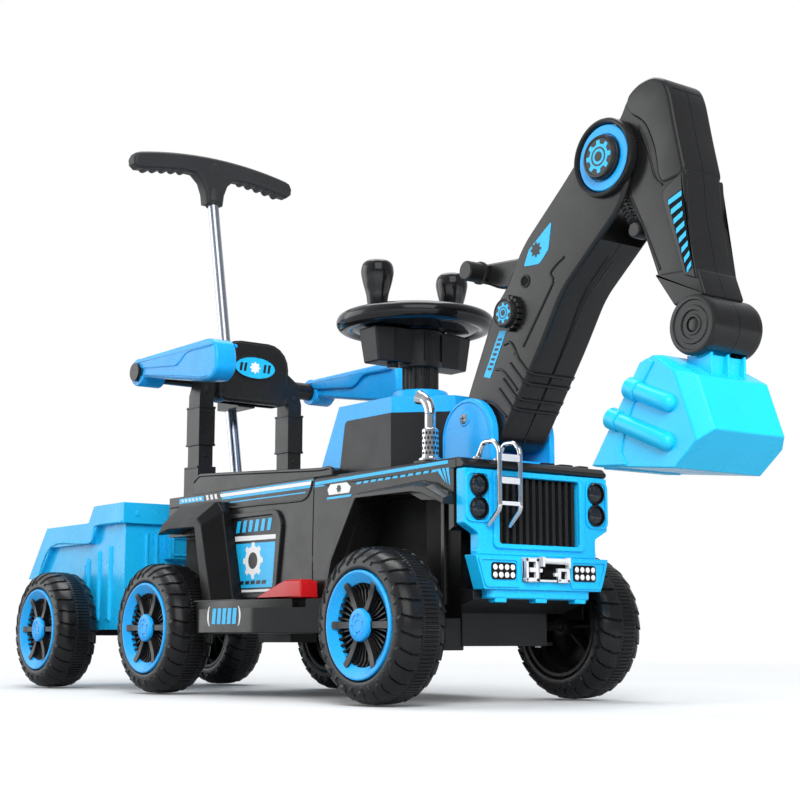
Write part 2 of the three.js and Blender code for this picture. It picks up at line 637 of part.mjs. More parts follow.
function bucket() {
  const outer = hullAcross([[-BUCKET_HALF, BUCKET_SIDE], [-BUCKET_BEVEL_X, BUCKET_MIDDLE],
    [BUCKET_BEVEL_X, BUCKET_MIDDLE], [BUCKET_HALF, BUCKET_SIDE]]);
  const middleIn = [[-239, 244], [-210, 262], [-288, 352], [-314, 332.5], [-329.5, 338], [-370.5, 314.5],
    [-389, 263.5], [-350.5, 232.8]];
  const sideIn = [[-239, 244], [-210, 262], [-288, 352], [-314, 332.5], [-327.5, 336.5], [-350.5, 319],
    [-369.5, 265], [-344.5, 235]];
  const hollow = hullAcross([[3.5 - BUCKET_HALF, sideIn], [1.6 - BUCKET_BEVEL_X, middleIn],
    [BUCKET_BEVEL_X - 1.6, middleIn], [BUCKET_HALF - 3.5, sideIn]]);
  const neck = prismX([[-365, 318], [-340, 332], [-343, 362], [-366, 362]], -25.5, 25.5);
  const eye = rodX(BUCKET_PIVOT, 20, -25.5, 25.5, 24);
  const skin = cut(outer, hollow);
  const bosses = [];
  for (const [rear, front] of BUCKET_BOSSES) {
    for (const side of [-1, 1]) {
      const x = side * BUCKET_HALF;
      const rod = rodBetween([x, ...rear], [x, ...front], 8.5, 16);
      bosses.push(cut(rod, hollow, box(-BUCKET_HALF + 0.5, BUCKET_HALF - 0.5, -400, -200, 200, 360)));
    }
  }
  return cut(join(skin, cut(neck, hollow), eye, ...bosses), rodX(BUCKET_PIVOT, 7 + RUN_GAP, -60, 60));
}

function bucketPin() {
  return rodX(BUCKET_PIVOT, 7, -32.5, 32.5);
}

// ---------- back rest, arm rests and push handle ----------
function tubeHole(extra) {
  const dy = HANDLE_TOP[0] - HANDLE_FOOT[0];
  const dz = HANDLE_TOP[1] - HANDLE_FOOT[1];
  return rodBetween([0, HANDLE_FOOT[0] - dy * 0.1, HANDLE_FOOT[1] - dz * 0.1], [0, ...HANDLE_TOP],
    HANDLE_RADIUS + extra);
}

function backrestFrame() {
  const pieces = [rodX(ARM_BAR, ARM_BAR_RADIUS, -165, 165, 24)];
  const corner = (x, z, radius, from) => [0, 1, 2, 3, 4, 5].map((k) => {
    const turn = ((from + k * 18) * Math.PI) / 180;
    return [x + radius * Math.cos(turn), z + radius * Math.sin(turn)];
  });
  const arch = [...corner(45, 411, 12, 270), ...corner(23, 453, 34, 0), ...corner(-23, 453, 34, 90),
    ...corner(-45, 411, 12, 180)];
  pieces.push(prismY(arch, 495, 522));
  for (const side of [-1, 1]) {
    const span = (a, b) => [side * a, side * b].sort((u, v) => u - v);
    const leg = [[62, SIDE_TOP_Z + RUN_GAP], [84, SIDE_TOP_Z + RUN_GAP], [84, 405], [76, 436], [54, 452], [54, 420],
      [62, 405]].map(([x, z]) => [side * x, z]);
    pieces.push(prismY(leg, 501, 531));
    const [s0, s1] = span(59, 87);
    pieces.push(box(s0, s1, 497, 535, SIDE_TOP_Z + RUN_GAP, 304));
    const [c0, c1] = span(60.5, 85.5);
    pieces.push(box(c0, c1, 499, 533, 336, 388));
    const [l0, l1] = span(58, 78);
    pieces.push(box(l0, l1, 515, ARM_BAR[0], 424, 443));
  }
  pieces.push(box(-14, 14, 515, 572, 396, 411));
  return cut(join(...pieces), tubeHole(0.5));
}

function armrestRight() {
  const [x0, x1] = [-160, -125];
  const outline = [[556, 446], [540, 452], [352, 452], [334, 445], [330, 410], [344, 398], [372, 400],
    [520, 424], [545, 420]];
  const ring = rodX(ARM_BAR, 19, x0, x1);
  const channel = prismX([[350, 380], [350, 447], [515, 447], [515, 380]], x0 + 3.5, x1 - 3.5);
  return cut(join(cut(prismX(outline, x0, x1), channel), ring), rodX(ARM_BAR, ARM_BAR_RADIUS + RUN_GAP, -200, -100));
}

function handleTube() {
  const [dy, dz] = [HANDLE_TOP[0] - HANDLE_FOOT[0], HANDLE_TOP[1] - HANDLE_FOOT[1]];
  const bore = rodBetween([0, HANDLE_FOOT[0] - dy * 0.02, HANDLE_FOOT[1] - dz * 0.02],
    [0, HANDLE_TOP[0] - dy * 0.02, HANDLE_TOP[1] - dz * 0.02], HANDLE_RADIUS - 1.2, 20);
  return cut(rodBetween([0, ...HANDLE_FOOT], [0, ...HANDLE_TOP], HANDLE_RADIUS, 20), bore);
}

function handleGrip() {
  const lean = [HANDLE_TOP[0] - HANDLE_FOOT[0], HANDLE_TOP[1] - HANDLE_FOOT[1]];
  const length = Math.hypot(...lean);
  const unit = lean.map((v) => v / length);
  const along = (s) => [0, HANDLE_TOP[0] + unit[0] * s, HANDLE_TOP[1] + unit[1] * s];
  const bar = sweptRod([[-126, 622, 762], [-90, 625, 769], [-40, 626, 774], [0, 627, 775], [40, 626, 774],
    [90, 625, 769], [126, 622, 762]], 14, 10, 10);
  const stem = rodBetween(along(-14), along(40), 13, 16);
  return cut(join(bar, stem), tubeHole(RUN_GAP));
}

// ---------- trailer ----------
const TUB_HALF = 104;
const TUB_RIM_HALF = 112;

function trailerTub() {
  const outer = prismX([[672, 84], [905, 84], [976, 165], [915, 240], [775, 240], [757, 264], [672, 264]],
    -TUB_HALF, TUB_HALF);
  const rimBand = [[664, 236], [748, 236], [766, 211], [906, 211], [958, 150], [985, 165], [922, 242],
    [777, 242], [760, 266], [664, 266]];
  const rim = prismX(rimBand, -TUB_RIM_HALF, TUB_RIM_HALF);
  const hollow = prismX([[676, 100], [896, 100], [969, 164], [1010, 205], [1010, 300], [676, 300]],
    -TUB_HALF + WALL, TUB_HALF - WALL);
  const belly = box(-TUB_HALF + WALL, TUB_HALF - WALL, 665, 905, 70, 96);
  const rearTrim = prismX([[905, 60], [1000, 60], [1000, 150], [976, 150]], -130, 130);
  const block = box(-40, 40, 656, 673, 186, 222);
  const axleBore = rodX([TRAILER_AXLE_Y, AXLE_Z], AXLE_RADIUS + RUN_GAP, -130, 130);
  const ribs = [];
  for (const side of [-1, 1]) {
    for (const y of [720, 760, 800]) {
      const [a, b] = [side * (TUB_HALF - 1), side * (TUB_HALF + 3)].sort((u, v) => u - v);
      ribs.push(box(a, b, y - 5, y + 5, 100, 180));
    }
  }
  const cover = prismX([[905, 84], [1000, 84], [1000, 165], [976, 165]], -130, 130);
  return cut(join(outer, cut(rim, cover), block, ...ribs), hollow, belly, rearTrim, axleBore);
}

function trailerFrame() {
  const rail = box(-30, 30, 640, 850, 84.3, 95.7);
  const blocks = [-1, 1].map((side) => {
    const [a, b] = [side * 25, side * 92].sort((u, v) => u - v);
    return box(a, b, TRAILER_AXLE_Y - 12, TRAILER_AXLE_Y + 12, 76, 95.7);
  });
  const bar = box(-11, 11, HITCH_Y, 650, 84.3, 92.3);
  const eye = rodZ([0, HITCH_Y], 14, 14, 84.3, 92.3, 24);
  const hole = rodZ([0, HITCH_Y], 5 + RUN_GAP, 5 + RUN_GAP, 70, 110);
  const axle = rodX([TRAILER_AXLE_Y, AXLE_Z], AXLE_RADIUS, -WHEEL_X - HUB_CAP_INNER + 0.5,
    WHEEL_X + HUB_CAP_INNER - 0.5);
  return join(cut(join(rail, ...blocks, bar, eye), hole), axle);
}

// ---------- assembly ----------
add('chassis_frame', chassisFrame(), 'satin');
add('body_shell', bodyShell(), 'black');
add('hood_cover', hoodCover(), 'black');
addPair('side_step', sideStepRight(), 'black');
add('seat', seat(), 'black');
add('foot_pedal', footPedal(), 'red');
add('rear_axle', rearAxle(), 'steel');
add('drive_gearbox', driveGearbox(), 'satin');
add('battery_pack', batteryPack(), 'satin');
addPair('knuckle', knuckleRight(), 'steel');
add('tie_rod', tieRod(), 'steel');
for (const [end, y] of [['front', 0], ['rear', REAR_AXLE_Y], ['trailer', TRAILER_AXLE_Y]]) {
  addWheel(`${end}_right`, -1, y);
  addWheel(`${end}_left`, 1, y);
}
add('fascia', fascia(), 'blue');
add('grille_panel', grillePanel(), 'black');
addPair('headlamp', headlampRight(), 'lens');
add('bumper', bumper(), 'blue');
add('winch_block', winchBlock(), 'chrome');
add('hood_ladder', hoodLadder(), 'chrome');
add('exhaust_stack', exhaustStack(), 'chrome');
add('console_shell', consoleShell(), 'blue');
add('console_core', consoleCore(), 'black');
add('steering_column', steeringColumn(), 'black');
add('sound_box', soundBox(), 'satin');
add('steering_wheel', steeringWheel(), 'black');
addPair('wheel_grip', wheelGripRight(), 'black');
add('boom_bracket', boomBracket(), 'blue');
add('bracket_pin', bracketPin(), 'steel');
add('boom_shell_right', boomShellRight(), 'black');
add('boom_shell_left', boomShellLeft(), 'black');
add('boom_handle', boomHandle(), 'black');
add('elbow_pin', elbowPin(), 'steel');
addPair('elbow_cap', elbowCapRight(), 'blue');
addPair('stick_shell', stickHalf(), 'black');
add('stick_spring', stickSpring(), 'black');
add('bucket', bucket(), 'cyan');
add('bucket_pin', bucketPin(), 'steel');
add('backrest_frame', backrestFrame(), 'black');
addPair('armrest', armrestRight(), 'blue');
add('handle_tube', handleTube(), 'chrome');
add('handle_grip', handleGrip(), 'satin');
add('trailer_tub', trailerTub(), 'blue');
add('trailer_frame', trailerFrame(), 'satin');

export default digger;
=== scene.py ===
"""Ride-on digger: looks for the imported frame. Metres, +Z up, nose along -Y, the rider's right is -X."""
import json
import math

import bmesh
import bpy
import numpy as np
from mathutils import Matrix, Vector

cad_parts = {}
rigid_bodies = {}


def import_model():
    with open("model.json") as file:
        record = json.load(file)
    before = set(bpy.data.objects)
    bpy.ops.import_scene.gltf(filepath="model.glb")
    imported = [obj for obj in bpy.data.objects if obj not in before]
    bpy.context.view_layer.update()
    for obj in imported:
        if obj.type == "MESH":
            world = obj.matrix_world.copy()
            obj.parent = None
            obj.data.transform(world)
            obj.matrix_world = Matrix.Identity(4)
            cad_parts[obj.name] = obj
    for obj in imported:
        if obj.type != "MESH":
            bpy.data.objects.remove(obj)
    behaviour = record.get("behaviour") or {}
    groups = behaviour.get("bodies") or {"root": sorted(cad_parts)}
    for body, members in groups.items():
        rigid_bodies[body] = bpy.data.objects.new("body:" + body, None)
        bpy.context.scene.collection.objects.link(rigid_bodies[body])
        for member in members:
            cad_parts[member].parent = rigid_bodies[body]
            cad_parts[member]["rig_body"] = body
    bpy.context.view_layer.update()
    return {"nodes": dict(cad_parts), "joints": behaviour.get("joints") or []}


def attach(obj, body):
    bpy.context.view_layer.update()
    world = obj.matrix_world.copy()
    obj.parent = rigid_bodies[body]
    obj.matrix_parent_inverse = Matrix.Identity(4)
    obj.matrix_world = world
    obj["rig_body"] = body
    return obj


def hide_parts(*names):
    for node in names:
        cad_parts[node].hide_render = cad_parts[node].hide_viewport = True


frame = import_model()

# ---------- places taken from the frame ----------
JOINT = {j["name"]: j for j in frame["joints"]}
MM = 0.001
FRONT_Y = JOINT["wheel_front_right_spin"]["pos_m"][1]      # every millimetre y below is from the front axle


def pivot(joint):
    """(y, z) of a joint in millimetres, y from the front axle."""
    _, y, z = JOINT[joint]["pos_m"]
    return ((y - FRONT_Y) / MM, z / MM)


BOOM_PIVOT = pivot("boom_lift")
ELBOW = pivot("stick_swing")
BUCKET_PIVOT = pivot("bucket_curl")
ARM_BAR = pivot("armrest_right_lift")
AXLE_Z = pivot("wheel_front_right_spin")[1]
WHEEL_X = abs(JOINT["wheel_front_right_spin"]["pos_m"][0]) / MM
WHEEL_Y = {end: pivot(f"wheel_{end}_right_spin")[0] for end in ("front", "rear", "trailer")}

# ---------- camera ----------
CAMERA_PLACE = Vector((-1.144015, -1.641287, 0.069139))
CAMERA_HEADING = math.radians(-37.3282)     # from +Y, counter-clockwise
CAMERA_RISE = math.radians(8.8293)
CAMERA_LENS = 69.552


def make_camera():
    data = bpy.data.cameras.new("camera")
    data.lens = CAMERA_LENS
    data.sensor_width = 36.0
    camera = bpy.data.objects.new("camera", data)
    bpy.context.scene.collection.objects.link(camera)
    look = Vector((
        -math.sin(CAMERA_HEADING) * math.cos(CAMERA_RISE),
        math.cos(CAMERA_HEADING) * math.cos(CAMERA_RISE),
        math.sin(CAMERA_RISE),
    ))
    camera.location = CAMERA_PLACE
    camera.rotation_mode = "QUATERNION"
    camera.rotation_quaternion = look.to_track_quat("-Z", "Y")
    bpy.context.scene.camera = camera


make_camera()


# ---------- materials ----------
def node_material(name):
    material = bpy.data.materials.new(name)
    material.use_nodes = True
    tree = material.node_tree
    return material, tree.nodes, tree.links, tree.nodes["Principled BSDF"]


def scaled_noise(nodes, links, scale, detail=3.0, stretch=(1, 1, 1)):
    """A noise pattern in the piece's own space, in features per metre."""
    place = nodes.new("ShaderNodeTexCoord")
    mapping = nodes.new("ShaderNodeMapping")
    mapping.inputs["Scale"].default_value = stretch
    noise = nodes.new("ShaderNodeTexNoise")
    noise.inputs["Scale"].default_value = scale
    noise.inputs["Detail"].default_value = detail
    links.new(place.outputs["Object"], mapping.inputs["Vector"])
    links.new(mapping.outputs["Vector"], noise.inputs["Vector"])
    return noise.outputs["Fac"]


def ramp(nodes, links, source, low, high, start=0.3, end=0.7):
    """Maps a noise to a range of values."""
    node = nodes.new("ShaderNodeMapRange")
    node.inputs["From Min"].default_value = start
    node.inputs["From Max"].default_value = end
    node.inputs["To Min"].default_value = low
    node.inputs["To Max"].default_value = high
    links.new(source, node.inputs["Value"])
    return node.outputs["Result"]


def tint(nodes, links, source, colour, spread):
    """A colour that drifts a little about its mean, as moulded plastic does."""
    mix = nodes.new("ShaderNodeMix")
    mix.data_type = "RGBA"
    darker = [c * (1 - spread) for c in colour]
    lighter = [min(1.0, c * (1 + spread)) for c in colour]
    mix.inputs["A"].default_value = (*darker, 1)
    mix.inputs["B"].default_value = (*lighter, 1)
    links.new(source, mix.inputs["Factor"])
    return mix.outputs["Result"]


def plastic(name, colour, rough=(0.25, 0.34), grain=900.0, grain_height=0.02, spread=0.08, coat=0.0,
            ior=1.48):
    """Moulded plastic: slow colour drift, patchy gloss, a fine grain and slight flow marks."""
    material, nodes, links, shader = node_material(name)
    slow = scaled_noise(nodes, links, 9.0, 4.0)
    links.new(tint(nodes, links, ramp(nodes, links, slow, 0, 1), colour, spread),
              shader.inputs["Base Color"])
    patch = scaled_noise(nodes, links, 30.0, 5.0)
    links.new(ramp(nodes, links, patch, *rough), shader.inputs["Roughness"])
    fine = scaled_noise(nodes, links, grain, 2.0)
    bump = nodes.new("ShaderNodeBump")
    bump.inputs["Strength"].default_value = grain_height
    bump.inputs["Distance"].default_value = 0.001
    links.new(fine, bump.inputs["Height"])
    links.new(bump.outputs["Normal"], shader.inputs["Normal"])
    shader.inputs["IOR"].default_value = ior
    shader.inputs["Coat Weight"].default_value = coat
    shader.inputs["Coat Roughness"].default_value = 0.12
    return material


def metal(name, colour, rough, brushed=0.0):
    """Plated or drawn metal: clear reflections with faint waves, or fine lines along X."""
    material, nodes, links, shader = node_material(name)
    shader.inputs["Metallic"].default_value = 1.0
    slow = scaled_noise(nodes, links, 40.0, 3.0)
    links.new(tint(nodes, links, ramp(nodes, links, slow, 0, 1), colour, 0.05), shader.inputs["Base Color"])
    stretch = (1, 1, 1) if not brushed else (0.03, 1, 1)
    lines = scaled_noise(nodes, links, 60.0 if not brushed else 2500.0, 3.0, stretch)
    links.new(ramp(nodes, links, lines, *rough), shader.inputs["Roughness"])
    bump = nodes.new("ShaderNodeBump")
    bump.inputs["Strength"].default_value = 0.002 + brushed
    bump.inputs["Distance"].default_value = 0.001
    links.new(lines, bump.inputs["Height"])
    links.new(bump.outputs["Normal"], shader.inputs["Normal"])
    return material


BLACK = plastic("black_plastic", (0.010, 0.010, 0.0105), (0.22, 0.33), 700.0, 0.03, 0.12)
GLOSS = plastic("gloss_black_plastic", (0.006, 0.006, 0.007), (0.10, 0.17), 300.0, 0.006, 0.08, coat=0.2)
SATIN = plastic("satin_black_plastic", (0.009, 0.009, 0.010), (0.34, 0.44), 1500.0, 0.10, 0.10)
TYRE = plastic("tyre_plastic", (0.008, 0.008, 0.009), (0.22, 0.33), 1200.0, 0.05, 0.12)
BLUE = plastic("blue_plastic", (0.010, 0.375, 0.87), (0.22, 0.32), 800.0, 0.02, 0.05)
# A lighter copy of the blue plastic, painted light for the brightly lit nose; the nose mouldings and the
# trailer take it.
LIT_BLUE = plastic("lit_blue_plastic", (0.010, 0.475, 0.89), (0.22, 0.32), 800.0, 0.02, 0.05)
CYAN = plastic("cyan_plastic", (0.010, 0.53, 0.90), (0.20, 0.30), 800.0, 0.02, 0.05)
RED = plastic("red_plastic", (0.50, 0.010, 0.013), (0.24, 0.34), 800.0, 0.02, 0.06)
WHITE = plastic("white_label", (0.80, 0.81, 0.82), (0.25, 0.35), 500.0, 0.01, 0.02)
SKY = plastic("blue_label", (0.012, 0.47, 0.86), (0.25, 0.35), 500.0, 0.01, 0.03)
# Black for print; also painted shade in the exhaust's holes and mouth and in the screw heads' cross.
PRINT_AND_SHADE_BLACK = plastic("black_print_and_painted_shade", (0.014, 0.014, 0.015), (0.25, 0.35), 500.0, 0.01, 0.06)
LENS = plastic("lens_plastic", (0.006, 0.010, 0.016), (0.04, 0.09), 200.0, 0.004, 0.10, coat=0.8)
# Near-black, far darker than the black plastic: painted shade, put in wheel wells, holes and recesses where
# only shade falls.
PAINTED_SHADE_BLACK = plastic("painted_shade_black", (0.0012, 0.0012, 0.0013), (0.55, 0.7), 900.0, 0.03, 0.12, ior=1.3)
CHROME = metal("chrome_plate", (0.90, 0.91, 0.94), (0.08, 0.14))
# The push tube's metal, tinted blue-grey: the tint is a painted reflection of the bluish shading along its
# edges.
REFLECTION_TINTED_TUBE = metal("polished_tube_painted_reflection", (0.66, 0.69, 0.78), (0.18, 0.24))
# A darker, less glossy copy of the black plastic for the rear fenders: painted shade.
SHADED_FENDER_BLACK = plastic("fender_plastic_painted_shade", (0.005, 0.005, 0.0055), (0.26, 0.36), 700.0, 0.03, 0.12, ior=1.32)
PLATE = plastic("bright_plated_plastic", (0.66, 0.67, 0.70), (0.10, 0.16), 300.0, 0.006, 0.10, coat=0.6)
GRIP = plastic("grip_plastic", (0.020, 0.021, 0.023), (0.42, 0.52), 1200.0, 0.08, 0.10)
STEEL = metal("bright_steel", (0.62, 0.63, 0.65), (0.22, 0.34), brushed=0.06)
SLOT_OF = {
    **dict.fromkeys((BLACK, GLOSS, SHADED_FENDER_BLACK, PAINTED_SHADE_BLACK, PRINT_AND_SHADE_BLACK), "black_plastic"),
    **dict.fromkeys((SATIN, GRIP), "satin_plastic"),
    **dict.fromkeys((BLUE, LIT_BLUE, WHITE, SKY), "blue_plastic"),
    **dict.fromkeys((REFLECTION_TINTED_TUBE, CHROME, PLATE), "chrome_plate"),
    TYRE: "tyre_plastic", CYAN: "cyan_plastic", RED: "red_plastic", LENS: "lens_plastic", STEEL: "steel",
}


# ---------- mesh helpers, in millimetres with y from the front axle ----------
PLACE = {       # where a point (u, v) of an outline goes at w along an axis
    "x": lambda u, v, w: (w, u, v),
    "y": lambda u, v, w: (u, w, v),
    "z": lambda u, v, w: (u, v, w),
}


def at(x, y, z):
    """Millimetres from the front axle as a place in the frame."""
    return Vector((x * MM, y * MM + FRONT_Y, z * MM))


def merged(*parts):
    """Several solids as one part, each part being (points, faces)."""
    verts, faces = [], []
    for v, f in parts:
        start = len(verts)
        verts += list(v)
        faces += [[i + start for i in face] for face in f]
    return verts, faces


def flipped(part):
    """The mirror image on the other side of the centre plane."""
    verts, faces = part
    return [(-x, y, z) for x, y, z in verts], [list(reversed(face)) for face in faces]


SIDES = (("right", lambda part: part), ("left", flipped))      # parts are drawn for the right side


def moved(part, dx=0, dy=0, dz=0):
    return [(x + dx, y + dy, z + dz) for x, y, z in part[0]], part[1]


def quads(count, rows, closed=False):
    """Faces between neighbouring rows of count points each; closed joins the last row to the first."""
    return [[r * count + i, r * count + (i + 1) % count,
             (r + 1) % rows * count + (i + 1) % count, (r + 1) % rows * count + i]
            for r in range(rows if closed else rows - 1) for i in range(count)]


def loft(axis, rows):
    """A solid through (outline, height) rows along an axis, all outlines with the same number of points."""
    n = len(rows[0][0])
    verts = [PLACE[axis](u, v, w) for outline, w in rows for u, v in outline]
    caps = [list(range(n))[::-1], [(len(rows) - 1) * n + i for i in range(n)]]
    return verts, quads(n, len(rows)) + caps


def prism(axis, outline, low, high):
    """An outline carried along an axis: (y, z) along X, (x, z) along Y, (x, y) along Z."""
    return loft(axis, [(outline, low), (outline, high)])


def block(x0, x1, y0, y1, z0, z1):
    return prism("z", [(x0, y0), (x1, y0), (x1, y1), (x0, y1)], z0, z1)


def lathe(profile, origin, axis="x", sides=48, side=1):
    """A profile of (radius, along) turned about an axis through origin. Side -1 turns "along" round.
    The solid is closed if the profile starts and ends on the axis."""
    verts = []
    for r, a in profile:
        for i in range(sides):
            t = 2 * math.pi * i / sides
            spot = PLACE[axis](r * math.cos(t), r * math.sin(t), side * a)
            verts.append(tuple(o + s for o, s in zip(origin, spot)))
    return verts, quads(sides, len(profile))


def ring(profile, origin, axis="x", sides=48, side=1):
    """A closed profile that stays off the axis."""
    return lathe(profile + profile[:1], origin, axis, sides, side)


def smooth_path(points, steps):
    """Points on a Catmull-Rom curve through the given ones."""
    points = [Vector(p) for p in points]
    ends = [points[0] * 2 - points[1], *points, points[-1] * 2 - points[-2]]
    out = []
    for i in range(len(points) - 1):
        a, b, c, d = ends[i:i + 4]
        for s in range(steps):
            t = s / steps
            out.append(0.5 * (2 * b + (c - a) * t + (2 * a - 5 * b + 4 * c - d) * t * t
                              + (3 * b - a - 3 * c + d) * t ** 3))
    return out + [points[-1]]


def sweep(path, radius, sides=16, closed=False, squash=1.0, up=Vector((0, 0, 1))):
    """A round or oval bar along a path. radius is a number or a function of the share of the way along."""
    path = [Vector(p) for p in path]
    n = len(path)
    verts = []
    for i, p in enumerate(path):
        before = path[(i - 1) % n] if closed or i else p
        after = path[(i + 1) % n] if closed or i < n - 1 else p
        direction = (after - before).normalized()
        sidewards = direction.cross(up)
        if sidewards.length < 1e-4:
            sidewards = direction.cross(Vector((0, 1, 0)))
        sidewards.normalize()
        upwards = sidewards.cross(direction)
        r = radius(i / (n - 1)) if callable(radius) else radius
        for k in range(sides):
            t = 2 * math.pi * k / sides
            verts.append(tuple(p + sidewards * r * math.cos(t) + upwards * r * squash * math.sin(t)))
    faces = quads(sides, n, closed)
    if not closed:
        faces += [list(range(sides))[::-1], [(n - 1) * sides + k for k in range(sides)]]
    return verts, faces


def finish_mesh(mesh, edge=math.radians(32)):
    """Merges shared points, turns the faces outwards and smooths across all but the sharp edges."""
    work = bmesh.new()
    work.from_mesh(mesh)
    bmesh.ops.remove_doubles(work, verts=work.verts, dist=0.00002)
    bmesh.ops.recalc_face_normals(work, faces=work.faces)
    work.to_mesh(mesh)
    work.free()
    mesh.polygons.foreach_set("use_smooth", [True] * len(mesh.polygons))
    mesh.set_sharp_from_angle(angle=edge)


def soften(obj, width, segments=3, angle=28):
    """Rounds the edges as a mould does."""
    mesh = obj.data
    if "sharp_edge" in mesh.attributes:
        mesh.attributes.remove(mesh.attributes["sharp_edge"])
    bevel = obj.modifiers.new("rounded_edges", "BEVEL")
    bevel.width = width * MM
    bevel.segments = segments
    bevel.limit_method = "ANGLE"
    bevel.angle_limit = math.radians(angle)
    bevel.harden_normals = True
    bevel.use_clamp_overlap = True
    bevel.miter_outer = "MITER_ARC"


def piece(name, part, shade, body="machine", bevel=0.0, segments=2, edge=32, angle=28):
    """One named piece from millimetre points, riding on a body."""
    mesh = bpy.data.meshes.new(name)
    mesh.from_pydata([at(*v) for v in part[0]], [], part[1])
    finish_mesh(mesh, math.radians(edge))
    mesh.materials.append(shade)
    obj = bpy.data.objects.new(name, mesh)
    bpy.context.scene.collection.objects.link(obj)
    if bevel:
        soften(obj, bevel, segments, angle)
    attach(obj, body)
    return obj


def both_sides(name, part, shade, body="machine", **soft):
    """The piece drawn for the right side, and its mirror image on the left."""
    for side, turned in SIDES:
        piece(f"{name}_{side}", turned(part), shade, body, **soft)


def moulded(node, shade, bevel=1.2, segments=3, angle=28):
    """The CAD node's own shape as a mould would leave it: flat faces made whole and edges rounded."""
    source = frame["nodes"][node]
    mesh = source.data.copy()
    mesh.materials.clear()
    work = bmesh.new()
    work.from_mesh(mesh)
    bmesh.ops.remove_doubles(work, verts=work.verts, dist=0.00002)
    bmesh.ops.dissolve_limit(work, angle_limit=math.radians(0.6), verts=work.verts, edges=work.edges)
    bmesh.ops.recalc_face_normals(work, faces=work.faces)
    work.to_mesh(mesh)
    work.free()
    for layer in ("custom_normal", "sharp_edge", "sharp_face"):
        if layer in mesh.attributes:
            mesh.attributes.remove(mesh.attributes[layer])
    mesh.polygons.foreach_set("use_smooth", [True] * len(mesh.polygons))
    mesh.materials.append(shade)
    obj = bpy.data.objects.new(node + "_moulding", mesh)
    bpy.context.scene.collection.objects.link(obj)
    if bevel:
        soften(obj, bevel, segments, angle)
    else:
        mesh.set_sharp_from_angle(angle=math.radians(32))
    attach(obj, source["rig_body"])
    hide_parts(node)
    return obj


# ---------- smooth moulded outlines ----------
def inset(outline, depth):
    """The outline moved inwards by a depth."""
    n = len(outline)
    area = sum(outline[i - 1][0] * outline[i][1] - outline[i][0] * outline[i - 1][1] for i in range(n))
    turn = 1 if area > 0 else -1
    out = []
    for i in range(n):
        p, a, b = Vector(outline[i]), Vector(outline[i - 1]), Vector(outline[(i + 1) % n])
        before, after = (p - a).normalized(), (b - p).normalized()
        inward = Vector((-(before.y + after.y), before.x + after.x)) * turn
        if inward.length < 1e-6:
            inward = Vector((-before.y, before.x)) * turn
        inward.normalize()
        spread = max(0.45, abs(inward.dot(Vector((-before.y, before.x)))))
        out.append(tuple(p + inward * depth / spread))
    return out


def cushion(axis, outline, base, face, radius, steps=5, base_radius=0.0):
    """A plate from a base plane to a face whose edge is rounded over."""
    sign = 1 if face > base else -1
    if base_radius:
        rows = [(inset(outline, base_radius), base), (outline, base + sign * base_radius)]
    else:
        rows = [(outline, base)]
    for i in range(steps + 1):
        t = math.pi / 2 * i / steps
        rows.append((inset(outline, radius * (1 - math.cos(t))), face - sign * radius * (1 - math.sin(t))))
    return loft(axis, rows)


def arc(centre, radius, start, end, steps):
    """Points on a circle from one angle to another, in degrees."""
    turns = [math.radians(start + (end - start) * i / steps) for i in range(steps + 1)]
    return [(centre[0] + radius * math.cos(t), centre[1] + radius * math.sin(t)) for t in turns]


def circle(centre, radius):
    """A whole circle of 24 points."""
    return arc(centre, radius, 0, 345, 23)


def oval(centre, wide, tall, start=0, end=352.5, steps=47):
    """Points on an ellipse, all the way round or from one angle to another."""
    return [(centre[0] + wide * u, centre[1] + tall * v) for u, v in arc((0, 0), 1, start, end, steps)]


def line_at(x, points):
    """The (y, z) points as a line in space at one x."""
    return [(x, y, z) for y, z in points]


def slanted(y0, y1, z0, z1, lean=0.0):
    """An upright bar whose top leans along y."""
    return [(y0, z0), (y1, z0), (y1 + lean, z1), (y0 + lean, z1)]


def rounded(points, radius, steps=5):
    """An outline with its corners rounded."""
    out = []
    n = len(points)
    for i in range(n):
        p, a, b = Vector(points[i]), Vector(points[i - 1]), Vector(points[(i + 1) % n])
        back = min(radius, (a - p).length * 0.45, (b - p).length * 0.45)
        start, end = p + (a - p).normalized() * back, p + (b - p).normalized() * back
        for s in range(steps + 1):
            t = s / steps
            q = start * (1 - t) ** 2 + p * 2 * t * (1 - t) + end * t * t
            out.append((q.x, q.y))
    return out


def bent(points, radius):
    """An open path with its inner corners rounded."""
    line = [points[0]]
    for before, corner, after in zip(points, points[1:], points[2:]):
        a, b, c = (Vector(p) for p in (before, corner, after))
        start, stop = b + (a - b).normalized() * radius, b + (c - b).normalized() * radius
        line += [tuple((1 - s) ** 2 * start + 2 * s * (1 - s) * b + s * s * stop)
                 for s in (0, 0.25, 0.5, 0.75, 1)]
    return line + [points[-1]]


def gear_outline(centre, outer, inner, teeth=8):
    cy, cz = centre
    points = []
    for i in range(teeth):
        for share, r in ((-0.25, inner), (-0.17, outer), (0.17, outer), (0.25, inner)):
            t = 2 * math.pi * (i + share) / teeth
            points.append((cy + r * math.cos(t), cz + r * math.sin(t)))
    return points


def frame_of(outer, inner, low, high, axis="x"):
    """A closed frame between two outlines with the same number of points."""
    n = len(outer)
    a = prism(axis, outer, low, high)[0]
    b = prism(axis, inner, low, high)[0]
    verts = a + b
    faces = []
    for i in range(n):
        k = (i + 1) % n
        faces += [[i, k, n + k, n + i], [2 * n + k, 2 * n + i, 3 * n + i, 3 * n + k],
                  [k, i, 2 * n + i, 2 * n + k], [n + i, n + k, 3 * n + k, 3 * n + i]]
    return verts, faces


